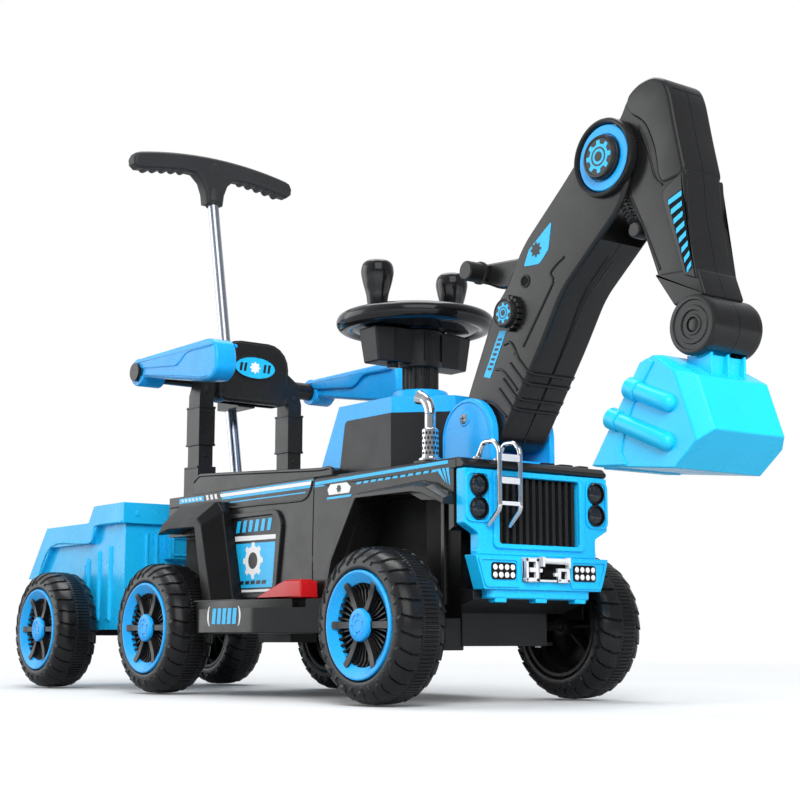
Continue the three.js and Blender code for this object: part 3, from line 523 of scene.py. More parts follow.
def capsule(start, end, x, radius, sides=24):
    """A bar with round ends between two (y, z) points, at one x."""
    a, b = Vector((x, *start)), Vector((x, *end))
    along = (b - a).normalized()
    turns = [math.pi / 2 * i / 5 for i in range(6)]
    near = [a + along * radius * (1 - math.cos(t)) for t in turns]
    far = [b - along * radius * (1 - math.cos(t)) for t in turns]
    sizes = [max(0.02, math.sin(t)) * radius for t in turns]
    sizes += sizes[::-1]
    last = len(sizes) - 1
    return sweep(near + far[::-1], lambda share: sizes[int(round(share * last))], sides)


FORK_STEPS = 16


def forked_half(outline, centre, reach, cheek, outer, inner, radius, steps=5):
    """Half of a hollow arm with a rounded outer face: a cheek plate near the joint, full depth beyond."""
    n = len(outline)
    far = [math.dist(point, centre) > reach for point in outline]
    start = next(i for i in range(n) if far[i] and not far[i - 1])
    loop = outline[start:] + outline[:start]
    count = sum(far)

    def crossing(a, b):
        """Where the way from a, outside the reach, to b, inside it, comes into reach."""
        for _ in range(30):
            middle = ((a[0] + b[0]) / 2, (a[1] + b[1]) / 2)
            if math.dist(middle, centre) > reach:
                a = middle
            else:
                b = middle
        return a

    first = crossing(loop[0], loop[-1])
    final = crossing(loop[count - 1], loop[count])
    loop = [first] + loop[:count] + [final] + loop[count:]
    deep = count + 2
    from_angle = math.atan2(final[1] - centre[1], final[0] - centre[0])
    to_angle = math.atan2(first[1] - centre[1], first[0] - centre[0])
    turn = (to_angle - from_angle + math.pi) % (2 * math.pi) - math.pi
    from_angle, turn = math.degrees(from_angle), math.degrees(turn)
    arc_points = arc(centre, reach, from_angle, from_angle + turn, FORK_STEPS)[1:-1]
    n = len(loop)
    sign = 1 if outer > inner else -1
    verts = []
    for i in range(steps + 1):
        t = math.pi / 2 * (1 - i / steps)
        x = outer - sign * radius * (1 - math.sin(t))
        verts += [(x, y, z) for y, z in inset(loop, radius * (1 - math.cos(t)))]
    faces = quads(n, steps + 1) + [list(range(n))]
    last = steps * n
    cheek_row = len(verts)
    verts += [(cheek, y, z) for y, z in loop[deep - 1:] + loop[:1]]
    inner_row = len(verts)
    verts += [(inner, y, z) for y, z in loop[:deep]]
    arc_cheek = len(verts)
    verts += [(cheek, y, z) for y, z in arc_points]
    arc_inner = len(verts)
    verts += [(inner, y, z) for y, z in arc_points]
    shallow = n - deep + 2
    for i in range(deep - 1):
        face = [last + i, last + i + 1, inner_row + i + 1, inner_row + i]
        if i == 0:
            face.append(cheek_row + shallow - 1)
        if i == deep - 2:
            face.insert(2, cheek_row)
        faces.append(face)
    for i in range(shallow - 1):
        faces.append([last + (deep - 1 + i) % n, last + (deep + i) % n, cheek_row + i + 1, cheek_row + i])
    on_cheek = [arc_cheek + i for i in range(FORK_STEPS - 1)]
    on_inner = [arc_inner + i for i in range(FORK_STEPS - 1)]
    cheek_arc = [cheek_row, *on_cheek, cheek_row + shallow - 1]
    inner_arc = [inner_row + deep - 1, *on_inner, inner_row]
    faces += [[cheek_arc[i], cheek_arc[i + 1], inner_arc[i + 1], inner_arc[i]] for i in range(FORK_STEPS)]
    faces.append([inner_row + i for i in range(deep)] + on_inner)
    faces.append([cheek_row + i for i in range(shallow)] + on_cheek[::-1])
    return verts, faces


def gear_emblem(name, centre, radius, face, side, shade, body):
    """A generic cogwheel mark with a ring and a dot."""
    tag = "right" if side < 0 else "left"
    low, high = sorted((side * face, side * (face + 0.35)))
    cog = prism("x", gear_outline(centre, radius, radius * 0.76), low, high)
    piece(f"{name}_cog_{tag}", cog, shade, body)
    low, high = sorted((side * face, side * (face + 0.6)))
    disc = prism("x", circle(centre, radius * 0.30), low, high)
    band = frame_of(circle(centre, radius * 0.58), circle(centre, radius * 0.48), low, high)
    piece(f"{name}_rings_{tag}", merged(disc, band), PRINT_AND_SHADE_BLACK, body)


# ---------- shapes taken over from the CAD nodes, with rounded edges ----------
MOULDINGS = {
    "chassis_frame": (SATIN, 0.8), "body_shell": (BLACK, 1.6), "seat": (BLACK, 2.0),
    "console_shell": (BLUE, 1.4), "backrest_frame": (BLACK, 1.6), "drive_gearbox": (SATIN, 1.0),
    "battery_pack": (SATIN, 1.0), "trailer_frame": (SATIN, 0.8), "fascia": (LIT_BLUE, 2.0),
    "bumper": (LIT_BLUE, 1.5), "trailer_tub": (LIT_BLUE, 3.0), "rear_axle": (STEEL, 0.5),
    "knuckle_right": (STEEL, 0.5), "knuckle_left": (STEEL, 0.5), "tie_rod": (STEEL, 0.5),
    "elbow_pin": (STEEL, 0.5), "bucket_pin": (STEEL, 0.5),
}
for node, (shade, bevel) in MOULDINGS.items():
    moulded(node, shade, bevel)


# ---------- wheels ----------
TYRE_PROFILE = [
    (59.0, 26.0), (59.6, 29.2), (61.5, 30.6), (65.5, 30.7), (70.0, 30.0), (74.6, 27.8), (78.2, 23.8),
    (80.6, 18.5), (81.8, 12.0), (82.2, 6.0), (82.3, 0.0),
]
LUGS = 28
STEPS_PER_LUG = 20
RIB_STEPS = 5               # mesh steps in one rib and its gap
BAND = (-14.0, 5.0)         # ribbed band across the tread, outwards positive on the right
SEAM = 7.2                  # mould seam beside the band
SHOULDER = 3.5              # plain strip between the band and the lugs
LUG_START, LUG_END = 9.0, 37.0      # along the surface from the middle
GAP_HEIGHT = 0.2            # heights above the plain tyre
RIB_HEIGHT = 1.5
SEAM_HEIGHT = 1.9
SHOULDER_HEIGHT = 1.0
LUG_HEIGHT = 2.4
OFFSET = 0.35               # the lugs of the two shoulders are this share of a lug apart


def tyre_mesh():
    """Blow-moulded tyre: a finely ribbed band with a seam, and curved overlapping shoulder lugs."""
    outer = smooth_path([(r, a, 0) for r, a in TYRE_PROFILE], 6)
    half = [(p.x, p.y) for p in outer]
    line = np.array(half + [(r, -a) for r, a in half[-2::-1]])
    along = np.concatenate([[0], np.cumsum(np.hypot(*np.diff(line, axis=0).T))])
    along -= along[len(half) - 1]
    tangent = np.gradient(line, axis=0)
    normal = np.stack([-tangent[:, 1], tangent[:, 0]], 1)
    normal /= np.linalg.norm(normal, axis=1)[:, None]
    rounds = LUGS * STEPS_PER_LUG
    share = np.arange(rounds) / STEPS_PER_LUG
    height = np.zeros((rounds, len(line)))
    step = np.arange(rounds)
    for j, s in enumerate(-along):
        d = s - BAND[1] if s > 0 else BAND[0] - s
        if BAND[0] < s < BAND[1]:
            height[:, j] = GAP_HEIGHT + RIB_HEIGHT * (step % RIB_STEPS < 3)
        elif abs(s - SEAM) < 0.9:
            height[:, j] = SEAM_HEIGHT - 1.2 * (step % 4 < 1)
        elif d < SHOULDER:
            height[:, j] = SHOULDER_HEIGHT
        elif abs(s) < LUG_END + 3:
            t = (abs(s) - LUG_START) / (LUG_END - LUG_START)
            shifted = share + OFFSET * (s > 0)
            phase = (shifted + 0.5 * t * t * np.sign(s)) % 1
            long_lug = np.where(shifted % 2 < 1, 1.0, 0.6)
            reach = 0.70 + 0.34 * np.sin(math.pi * phase) * long_lug
            body = SHOULDER_HEIGHT + (LUG_HEIGHT - SHOULDER_HEIGHT) * phase
            gone = np.clip((t - reach) / 0.05, 0, 1)
            height[:, j] = body * (1 - gone) * (phase > 0.1) - 0.5 * (phase <= 0.1) * (gone < 1)
    turn = 2 * math.pi * np.arange(rounds) / rounds
    verts = []          # all six wheels take this one moulding, so the band lies on the same side of each
    for i in range(rounds):
        r = line[:, 0] + normal[:, 0] * height[i]
        a = line[:, 1] + normal[:, 1] * height[i]
        verts += [(-a[j] * MM, r[j] * math.cos(turn[i]) * MM, r[j] * math.sin(turn[i]) * MM)
                  for j in range(len(line))]
    mesh = bpy.data.meshes.new("tyre")
    mesh.from_pydata(verts, [], quads(len(line), rounds, closed=True))
    finish_mesh(mesh, math.radians(38))
    return mesh


RIM_OUT = 58.3
RIM_IN = 45.0
HUB_RADIUS = 18.0
MAIN_SPOKES = 6
FINS_BETWEEN = 5
CAP_TEETH = 5


def spoke(radii, widths, backs, fronts, turn):
    """A radial bar along the given radii, each with its own half width, back and front along the axle."""
    verts = []
    for r, w, b, f in zip(radii, widths, backs, fronts):
        for u, a in ((-w, b), (w, b), (w, f), (-w, f)):
            y, z = r * math.cos(turn) - u * math.sin(turn), r * math.sin(turn) + u * math.cos(turn)
            verts.append((a, y, z))
    last = 4 * (len(radii) - 1)
    return verts, [[3, 2, 1, 0], *quads(4, len(radii)), [last, last + 1, last + 2, last + 3]]


def wheel_parts():
    """The rim's pieces about the wheel's own centre, with x along the axle and outwards."""
    centre = (0, 0, 0)
    hoop = ring([
        (RIM_OUT, 24), (RIM_OUT, 30.8), (57.6, 31.7), (56.2, 32.0), (54.6, 31.5), (RIM_IN + 2, 26.2),
        (RIM_IN, 25.0), (RIM_IN, 20), (RIM_IN + 4, 19),
    ], centre, sides=96)
    dish = ring([
        (RIM_OUT, 20), (RIM_IN + 3, 21), (RIM_IN, 19.5), (RIM_IN - 2, 13), (20, 11.5), (HUB_RADIUS - 2, 16),
        (HUB_RADIUS - 2, 25), (13, 26), (11.5, 26), (11.5, 12), (11, 6), (11, -25), (9, -26), (6, -26),
        (6, 4), (14, 8), (RIM_IN - 6, 8), (RIM_IN + 1, 5), (RIM_IN + 3, -12), (RIM_IN + 8, -15),
        (RIM_IN + 8, -27), (RIM_IN + 9, -29), (RIM_OUT, -29),
    ], centre, sides=96)
    bars = []
    for i in range(MAIN_SPOKES):
        turn = 2 * math.pi * i / MAIN_SPOKES
        bars.append(spoke((14, 24, 36, 43, 49, 52.5), (3.7, 3.7, 3.7, 4.2, 4.2, 1.4), (12,) * 6,
                          (27.2, 26.6, 26.8, 28.0, 29.4, 28.8), turn))
        for k in range(FINS_BETWEEN):
            fin = turn + 2 * math.pi * (k + 1) / (FINS_BETWEEN + 1) / MAIN_SPOKES
            bars.append(spoke((13, 22, 38, 44.8), (0.8, 0.9, 1.1, 1.3), (11,) * 4,
                              (24.0, 20.0, 21.0, 25.5), fin))
    inner = []
    for i in range(MAIN_SPOKES):
        turn = 2 * math.pi * i / MAIN_SPOKES
        inner.append(spoke((10, 30, 46), (1.6, 1.6, 1.6), (9,) * 3, (-14, -4, 2), turn))
    cap = lathe([(0, 30.4), (5.0, 30.4), (5.4, 31.2), (7.4, 31.2), (7.8, 30.3), (11.4, 30.2), (11.8, 31.0),
                 (15.4, 30.8), (17.0, 30.0), (17.8, 28.4), (17.8, 25.6), (0, 25.6)], centre, sides=64)
    teeth = []
    for i in range(CAP_TEETH):
        turn = 2 * math.pi * (i + 0.1) / CAP_TEETH
        teeth.append(spoke((6.4, 9.2, 12.2), (1.6, 1.5, 2.4), (29,) * 3, (31.4, 31.2, 31.4), turn))
    return {
        "hoop": (hoop, BLUE), "dish": (dish, SATIN), "spokes": (merged(*bars), BLACK),
        "inner_ribs": (merged(*inner), SATIN), "cap": (cap, BLUE), "cap_mark": (merged(*teeth), BLUE),
    }


def make_wheels():
    meshes = {"tyre": (tyre_mesh(), TYRE)}
    meshes["tyre"][0].materials.append(TYRE)
    for key, (part, shade) in wheel_parts().items():
        mesh = bpy.data.meshes.new(key)
        mesh.from_pydata([(-x * MM, y * MM, z * MM) for x, y, z in part[0]], [], part[1])
        finish_mesh(mesh)
        mesh.materials.append(shade)
        meshes[key] = (mesh, shade)
    for end, y in WHEEL_Y.items():
        for side, name in ((-1, "right"), (1, "left")):
            body = f"wheel_{end}_{name}"
            for key, (mesh, shade) in meshes.items():
                obj = bpy.data.objects.new(f"{body}_{key}", mesh)
                bpy.context.scene.collection.objects.link(obj)
                obj.location = at(side * WHEEL_X, y, AXLE_Z)
                if side > 0 and key != "tyre":
                    obj.rotation_euler = (0, 0, math.pi)
                if key in ("spokes", "dish", "cap_mark"):
                    soften(obj, 0.4, 1)
                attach(obj, body)
                if key == "tyre":
                    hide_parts(f"tyre_{end}_{name}")
                if key == "hoop":
                    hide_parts(f"rim_{end}_{name}")


make_wheels()


# ---------- body side: labels, door and mouldings ----------
SIDE = 106.0
LABEL = 0.35
BADGE = (133.5, 244.6)      # (y, z) of the cogwheel on the hood's side
DOOR_MARK = (320, 168)
STEP_MARK = (300, 98)


def side_plates(outlines, face=SIDE, thick=LABEL, sunk=0.5):
    """Thin plates on a side face: outlines are (y, z)."""
    return merged(*(prism("x", outline, -face - thick, -face + sunk) for outline in outlines))


def body_labels():
    front_y, back_y, rise = -69, 184, 3.6       # the hood's edge climbs forwards
    strip = [(back_y, 252.2), (front_y, 252.2 + rise), (front_y, 256.0 + rise), (back_y, 256.0)]
    tab = [(184, 249.8), (162, 250.0), (166, 251.6), (184, 251.4)]
    dashes = []
    for i in range(11):
        y = 99 - i * 13.9
        z = 246.6 + rise * (99 - y) / (back_y - front_y)
        dashes.append([(y, z), (y - 9, z), (y - 10.6, z + 2.6), (y - 1.6, z + 2.6)])
    slashes = [
        [(-49, 251.5), (-56, 251.5), (-64.5, 236)], [(-58.5, 251.5), (-63, 251.5), (-68.2, 233.5)],
        [(-65.5, 251.5), (-70, 251.5), (-72.6, 233), (-71.2, 233)],
    ]
    underline = [(158, 233.2), (110, 233.6), (108, 236.2), (158, 235.8)]
    rear_blue = [
        [(189, 258.4), (402, 258.8), (402, 260.0), (189, 259.8)],
        [(192, 250.2), (398, 250.4), (401, 253.4), (190.5, 253.2)],
        [(205, 244.6), (378, 244.8), (381, 246.2), (202, 246.0)],
        [(446, 252.2), (512, 252.4), (512, 259.4), (448, 259.2)],
    ]
    both_sides("body_blue_labels", side_plates([strip, tab, underline, *dashes, *slashes, *rear_blue]), SKY)
    white = [
        [(189.5, 253.6), (402, 253.8), (405, 258.2), (188.8, 258.0)],
        *[slanted(411 + i * 11, 416.5 + i * 11, 252.4, 259.2, 3.0) for i in range(3)],
        [(113, 238.4), (154, 238.4), (157, 244.8), (151, 250.8), (118, 250.8), (110, 244.8)],
    ]
    bars = [slanted(452 + i * 9.5, 456.5 + i * 9.5, 254.0, 257.6, 2.0) for i in range(6)]
    both_sides("body_white_labels", side_plates(white), WHITE)
    raised = LABEL + 0.25
    both_sides("badge_mark", side_plates([gear_outline(BADGE, 4.9, 3.7)], thick=raised), PRINT_AND_SHADE_BLACK)
    both_sides("body_small_bars", side_plates(bars, thick=raised), WHITE)


def door():
    outer = rounded([(386, 229), (262, 229), (250, 213), (263, 121), (376, 121)], 16)
    inner = rounded([(378.5, 223), (270, 223), (262, 211), (271, 127), (369, 127)], 12)
    both_sides("door_frame", frame_of(outer, inner, -SIDE - 4.2, -SIDE + 1), BLACK, bevel=1.4, segments=3)
    panel = rounded([(378, 222.6), (270.6, 222.6), (262.6, 211), (271.6, 127.4), (368.6, 127.4)], 12)
    both_sides("door_panel", prism("x", panel, -SIDE - 0.5, -SIDE + 1), PRINT_AND_SHADE_BLACK)
    plates = [slanted(281 + i * 14.6, 289 + i * 14.6, 204.5, 219.5, -4.0) for i in range(6)]
    plates.append([(272, 134), (370.5, 134), (374.6, 190.5), (266.4, 189.5)])
    both_sides("door_blue_label", side_plates(plates, SIDE + 0.5), SKY)
    bars = [[(266.2, 193), (375, 194), (376, 200.5), (266, 198.5)],
            [(272.4, 128.6), (369, 128.8), (370, 132), (272, 131.6)]]
    white = [*bars, gear_outline(DOOR_MARK, 23, 18.5)]
    both_sides("door_white_label", side_plates(white, SIDE + 0.5, LABEL + 0.2), WHITE)
    marks = [slanted(290 + i * 13, 299 + i * 13, 138.5, 143, -1.5) for i in range(5)]
    black = [circle(DOOR_MARK, 10.5), *marks]
    both_sides("door_black_mark", side_plates(black, SIDE + 0.5, LABEL + 0.4), PRINT_AND_SHADE_BLACK)


def body_mouldings():
    crease = line_at(-SIDE, [(189, 258), (194, 246), (204, 238), (224, 236), (300, 237.2), (372, 238.4),
                             (392, 244), (410, 247.5), (470, 248.5), (538, 249)])
    both_sides("side_crease", sweep(smooth_path(crease, 8), 1.5, 10), BLACK)
    seam = line_at(-SIDE, [(186, 249), (187, 220), (188, 160), (186, 108)])
    both_sides("side_seam", sweep(smooth_path(seam, 6), 0.7, 8), BLACK)
    # Near-black plates inside the front and rear wheel wells: painted shade where the wells fall dark.
    well = [(-11.5, 92), (148, 92), (117.5, 160), (83.5, 228.5), (-11.5, 228.5)]
    well_front = [(-69.5, 92), (-11, 92), (-11, 224), (-69.5, 214)]
    shade_sheets = merged(prism("x", well, -71.4, -69.8), prism("x", well_front, -89.4, -87.8),
                   block(-89, -70, -13.4, -11.8, 92, 226))
    both_sides("front_well_shade_sheet", shade_sheets, PAINTED_SHADE_BLACK)
    rear_well = [(396, 92), (538, 92), (538, 207), (401, 207)]
    both_sides("rear_well_shade_sheet", prism("x", rear_well, -79.4, -77.8), PAINTED_SHADE_BLACK)
    rim = line_at(-102, [(152, 264), (153, 268.6), (160, 271.6), (186, 271.4), (300, 278.4), (444, 286.8),
                         (466, 286.6), (479, 280)])
    both_sides("seat_rim", sweep(smooth_path(rim, 6), 2.4, 16), GLOSS)
    lip_out = [(153, 116), (139, 161), (91, 237), (-25, 242), (-50, 237.5), (-78.5, 223)]
    lip_mid = [(148, 116), (133.5, 161), (86.5, 232.6), (-24, 235), (-46, 232), (-78.5, 217.5)]
    lip_in = [(141.5, 116), (127.5, 160.5), (81, 228.6), (-21, 228.2), (-40, 225.5), (-78.5, 211)]
    rows = [(-106.5, lip_out), (-120, lip_mid), (-121, lip_in), (-103, lip_in)]
    count = len(lip_out)
    verts = [(x, y, z) for x, line in rows for y, z in line]
    faces = [[r * count + i, r * count + i + 1, ((r + 1) % 4) * count + i + 1, ((r + 1) % 4) * count + i]
             for r in range(4) for i in range(count - 1)]
    faces += [[r * count for r in range(4)], [r * count + count - 1 for r in range(4)]]
    both_sides("arch_lip", (verts, faces), BLACK, bevel=1.3, segments=3, angle=15)
    posts = block(-93, -86, -46, -39, 106, 226)
    both_sides("wheel_well_post", posts, BLACK, bevel=1.5, segments=3)


def hood():
    section = [(-106, 250.3), (106, 250.3), (106, 259.2), (103.2, 262), (-103.2, 262), (-106, 259.2)]
    piece("hood_top", prism("y", section, -82, 185.5), BLACK, bevel=0.7, segments=3)
    profile = [(-81, 250.6), (-91.5, 250.6), (-94.5, 252.6), (-94.5, 255.4), (-88.5, 261.2), (-81, 262.2)]
    front = prism("x", profile, -105.5, 105.5)
    lip = piece("hood_front_lip", front, BLACK, bevel=1.6, segments=3)
    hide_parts("hood_cover")
    bumps = [rounded([(x, -77), (x + w, -77), (x + w, -58), (x, -58)], 4)
             for x, w in ((24, 20), (52, 20), (80, 16))]
    raised = merged(*(prism("z", bump, 261, 265.4) for bump in bumps))
    piece("hood_bumps", raised, BLACK, bevel=1.6, segments=3)


def side_steps():
    low, split, high = 77, 107.2, 117       # the board, and where the pedal's well begins
    plan = [(-106.4, 112), (-106.4, 384), (-150, 384), (-160, 362), (-160, 237), (-113, 116)]
    board = cushion("z", rounded(plan, 5, 4), low, high, 2.4, 4, 1.6)
    rear = [(-106.4, 384), (-150, 384), (-160, 362), (-160, 237), (-138.4, 181.5), (-138.4, 268.4),
            (-106.4, 268.4)]
    front = [(-106.4, 112), (-113, 116), (-131.5, 163.6), (-106.4, 163.6)]
    welled = merged(cushion("z", rounded(plan, 5, 4), low, split, 0.02, 1, 1.6),
                    cushion("z", rear, split - 0.1, high, 1.2, 3),
                    cushion("z", front, split - 0.1, high, 1.2, 3))
    for tag, shape in (("right", welled), ("left", flipped(board))):
        obj = piece(f"step_board_{tag}", shape, BLACK)
        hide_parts(f"side_step_{tag}")
    inner_line = [(342, 116.5), (386, 116.5), (410, 216), (478, 217), (509, 210), (486, 246), (388, 247),
                  (372, 232)]
    outer_line = [(362, 116.5), (385, 116.5), (409, 213), (477, 214), (507, 208), (494, 222), (403, 224),
                  (391, 214)]
    fender = loft("x", [(inner_line, -106.2), (inner_line, -121), (outer_line, -142)])
    both_sides("rear_fender", fender, SHADED_FENDER_BLACK, bevel=1.8, segments=4, angle=12)
    ribs = [block(-156, -112, y, y + 2.4, 116.6, 118.4) for y in range(274, 340, 7)]
    both_sides("step_tread", merged(*ribs), BLACK, bevel=0.6)
    outer = rounded([(-158.5, 382), (-158.5, 240), (-152, 228), (-140, 200), (-116, 138), (-110, 138),
                     (-110, 382)], 6)
    inner = rounded([(-155, 378.5), (-155, 241), (-149, 230), (-137.5, 203), (-114.4, 143), (-113, 143),
                     (-113, 378.5)], 4)
    edge = frame_of(outer, inner, 116.5, 118.2, "z")
    piece("step_edge_left", flipped(edge), BLACK, bevel=0.6)
    outer = rounded([(-158.5, 382), (-158.5, 271), (-110, 271), (-110, 382)], 6)
    inner = rounded([(-155, 378.5), (-155, 274.5), (-113, 274.5), (-113, 378.5)], 4)
    edge = frame_of(outer, inner, 116.5, 118.2, "z")
    piece("step_edge_right", edge, BLACK, bevel=0.6)
    mark_y, mark_z = STEP_MARK
    bows = []
    for sign in (-1, 1):
        centre = (mark_y + sign * 33, mark_z)
        bows.append(oval(centre, sign * 6, 12, -90, 90, 12) + oval(centre, sign * 3, 11.4, 90, -90, 12))
    bars = [slanted(mark_y - 28 + i * 12, mark_y - 20 + i * 12, 88.5, 107.5, -2.4) for i in range(5)]
    both_sides("step_white_label", side_plates(bows, 160.0), WHITE)
    both_sides("step_blue_label", side_plates(bars, 160.0), SKY)


def pedal():
    wedge = [(268, 118.2), (262, 121), (212, 136.6), (204, 138.4), (168, 138), (166, 118.2)]
    body = cushion("x", rounded(wedge, 2, 3), -112.2, -136.6, 1.8, 4, 1.0)
    obj = piece("pedal_wedge", body, RED, "pedal")
    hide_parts("foot_pedal")
    ridges = [block(-133, -116, y, y + 2.6, 137.6, 139.8) for y in range(172, 204, 6)]
    piece("pedal_ridges", merged(*ridges), RED, "pedal", bevel=0.6)


body_labels()
door()
body_mouldings()
hood()
side_steps()
pedal()


# ---------- nose ----------
FASCIA = -95.0              # front face of the blue surround
LAMP_X = -86
LAMP_HEIGHTS = (207.4, 232.0)
LAMP_RIBS = 16
SLATS = 12
BUMPER = -103.0
WINCH = -103.3
LADDER_X = (-74, -45)


def lamp_panel():
    """The raised panel round one pair of lamps, its rings, lenses and reflectors."""
    panel = rounded([(-104.4, 192.5), (-70.5, 192.5), (-70.5, 246), (-104.4, 246)], 9)
    dent = rounded([(-100.5, 194.5), (-72.5, 194.5), (-72.5, 244), (-100.5, 244)], 8)
    raised = frame_of(panel, dent, FASCIA - 2.2, FASCIA + 1, "y")
    ring_profile = [(11.8, -1), (12.6, 2.2), (11.6, 3.6), (10.6, 3.2), (10.2, 0.4), (10.2, -1)]
    lens_profile = [(0, 3.4), (4, 3.2), (7, 2.5), (9.2, 1.4), (10.4, 0.4), (10.4, -1), (0, -1)]
    rings, lenses, ribs = [], [], []
    for z in LAMP_HEIGHTS:
        centre = (LAMP_X, FASCIA, z)
        rings.append(ring(ring_profile, centre, "y", 48, -1))
        lenses.append(lathe(lens_profile, centre, "y", 48, -1))
        for i in range(LAMP_RIBS):
            t = 2 * math.pi * i / LAMP_RIBS
            start = (LAMP_X + 4.4 * math.cos(t), FASCIA - 3.2, z + 4.4 * math.sin(t))
            end = (LAMP_X + 9.2 * math.cos(t + 0.35), FASCIA - 1.5, z + 9.2 * math.sin(t + 0.35))
            ribs.append(sweep([start, end], 0.45, 6))
    return raised, merged(*rings), merged(*lenses), merged(*ribs)


def fascia_details():
    raised, rings, lenses, ribs = lamp_panel()
    both_sides("lamp_panel", raised, LIT_BLUE, bevel=1.0, segments=3)
    both_sides("lamp_bezels", rings, GLOSS)
    both_sides("lamp_reflector_ribs", ribs, LENS)
    for side, turned in SIDES:
        lens = piece(f"lamp_lenses_{side}", turned(lenses), LENS)
        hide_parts(f"headlamp_{side}")
    outer = rounded([(-66.5, 165.5), (66.5, 165.5), (66.5, 248.5), (-66.5, 248.5)], 7)
    inner = rounded([(-58.6, 170.9), (58.6, 170.9), (58.6, 243.2), (-58.6, 243.2)], 4)
    bezel = frame_of(outer, inner, FASCIA - 3.4, FASCIA + 1, "y")
    piece("grille_bezel", bezel, LIT_BLUE, bevel=1.6, segments=3)
    slats = []
    for i in range(SLATS):
        x = (i - (SLATS - 1) / 2) * 9.7
        plan = [(x - 3.6, -86), (x - 2.2, -93.4), (x + 2.2, -93.4), (x + 3.6, -86)]
        slats.append(prism("z", plan, 171.2, 242.8))
    slat_piece = piece("grille_slats", merged(*slats), BLACK, bevel=0.8, segments=3)
    backing = piece("grille_backing", block(-58.5, 58.5, -87.5, -83.6, 171, 243), SATIN)
    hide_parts("grille_panel")
    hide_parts("grille_panel")


def bumper_details():
    field_out = rounded([(-94.5, 156), (-84.5, 124.5), (-37.5, 124.5), (-37.5, 156)], 4)
    field_in = rounded([(-90.5, 153), (-82.0, 128), (-40.5, 128), (-40.5, 153)], 3)
    field = frame_of(field_out, field_in, BUMPER - 1.8, BUMPER + 1, "y")
    both_sides("bumper_field", field, LIT_BLUE, bevel=0.8, segments=3)
    plate = rounded([(-76, 132.5), (-42, 132.5), (-42, 150.5), (-76, 150.5)], 4)
    both_sides("fog_plate", prism("y", plate, BUMPER - 1.6, BUMPER + 1), GLOSS, bevel=0.5)
    dome = [(0, 2.6), (2.2, 2.4), (3.1, 1.7), (3.1, -1), (0, -1)]
    dots = [lathe(dome, (-71.5 + 8.2 * column, BUMPER, 137.3 + 8.2 * row), "y", 24, -1)
            for column in range(4) for row in range(2)]
    both_sides("fog_leds", merged(*dots), WHITE)
    bar = [(-74, -93), (-74, -84), (74, -84), (74, -93), (70, -99), (-70, -99)]
    piece("skid_bar", prism("z", rounded(bar, 4), 112.6, 124), LIT_BLUE, bevel=2.4, segments=4)
    lugs = [block(x - 8, x + 8, -98, -86, 108.6, 114) for x in (-58, 0, 58)]
    piece("skid_lugs", merged(*lugs), LIT_BLUE, bevel=1.0)


def winch():
    chin = cushion("y", rounded([(-86, 154), (86, 154), (88, 166), (-88, 166)], 4), -84, FASCIA + 1.4, 1.0)
    piece("fascia_chin", chin, LIT_BLUE)
    bars = (        # x from and to, how far it stands out, z from and to
        (-32, -13, 6, 131, 135), (-32, -13, 6, 152, 156), (-32, -28, 6, 131, 156), (-17.5, -13, 6, 131, 156),
        (-25, -17, 5, 141, 146),
        (15, 32, 6, 131, 134.5), (15, 19, 6, 131, 146), (28, 32, 6, 131, 146), (19, 28, 6, 142.5, 146),
        (-9, -6, 8, 147, 158), (29, 32, 8, 146, 158),
        (-13, 15, 4, 131, 133.4), (-13, -8, 6, 141, 145), (10, 15, 6, 137, 141),
    )
    blocks = merged(*(block(x0, x1, WINCH - depth, WINCH, z0, z1) for x0, x1, depth, z0, z1 in bars))
    base = piece("winch_frame", blocks, PLATE, bevel=0.7, segments=3)
    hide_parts("winch_block")
    # The near-black plate behind the frame is painted shade; the hook is drawn in the same painted-shade
    # black.
    piece("winch_shade_plate", block(-32, 32, WINCH - 2.0, WINCH, 131, 156), PAINTED_SHADE_BLACK, bevel=0.8)
    hook = [(-8, 147), (-4, 144), (4, 144), (10, 147), (7, 140), (10, 135), (5, 137), (-5, 137), (-9, 135),
            (-6, 140)]
    piece("winch_hook", prism("y", hook, WINCH - 5, WINCH - 2), PAINTED_SHADE_BLACK, bevel=0.6)
    roller = lathe([(0, -7), (4.2, -7), (4.2, -5), (3.3, -4.4), (3.3, 26), (4.2, 26.6), (4.2, 29), (0, 29)],
                   (0, WINCH - 5.0, 153.5), "x", 32)
    piece("winch_roller", roller, PLATE, bevel=0.4)


def ladder():
    corners = [(-97.6, 190), (-115.6, 206), (-115.6, 269.5), (-107.5, 279), (-90, 279), (-79.5, 262)]
    rails = [sweep(line_at(x, bent(corners, 4.5)), 2.7, 16, up=Vector((1, 0, 0))) for x in LADDER_X]
    plan = rounded([(-73, -113), (-73, -117.6), (-46, -117.6), (-46, -113)], 1)
    rungs = [cushion("z", plan, z, z + tall, 1.2) for z, tall in ((210, 4.4), (233, 7), (257, 7.6))]
    piece("ladder_rungs", merged(*rungs), PLATE)
    feet = [lathe([(0, 2.6), (4.6, 2.4), (5.4, 1.2), (5.4, -0.6), (0, -0.6)], (x, -79.5, 262.4), "z", 24)
            for x in LADDER_X]
    obj = piece("ladder_rails", merged(*rails), CHROME)
    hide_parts("hood_ladder")
    piece("ladder_feet", merged(*feet), CHROME)


HOLE_ROWS = 5
HOLES_AROUND = 14


def exhaust_hole(centre, out):
    """A dark oval plug set in the stack's wall, facing out: painted shade inside a hole."""
    across = Vector((-out.y, out.x, 0))
    edge = [centre + across * u + Vector((0, 0, v)) for u, v in oval((0, 0), 1.35, 1.9, 0, 315, 7)]
    verts = [tuple(p + out * 0.25) for p in edge] + [tuple(p - out * 0.6) for p in edge]
    return verts, [list(range(8)), *quads(8, 2), list(range(8, 16))]


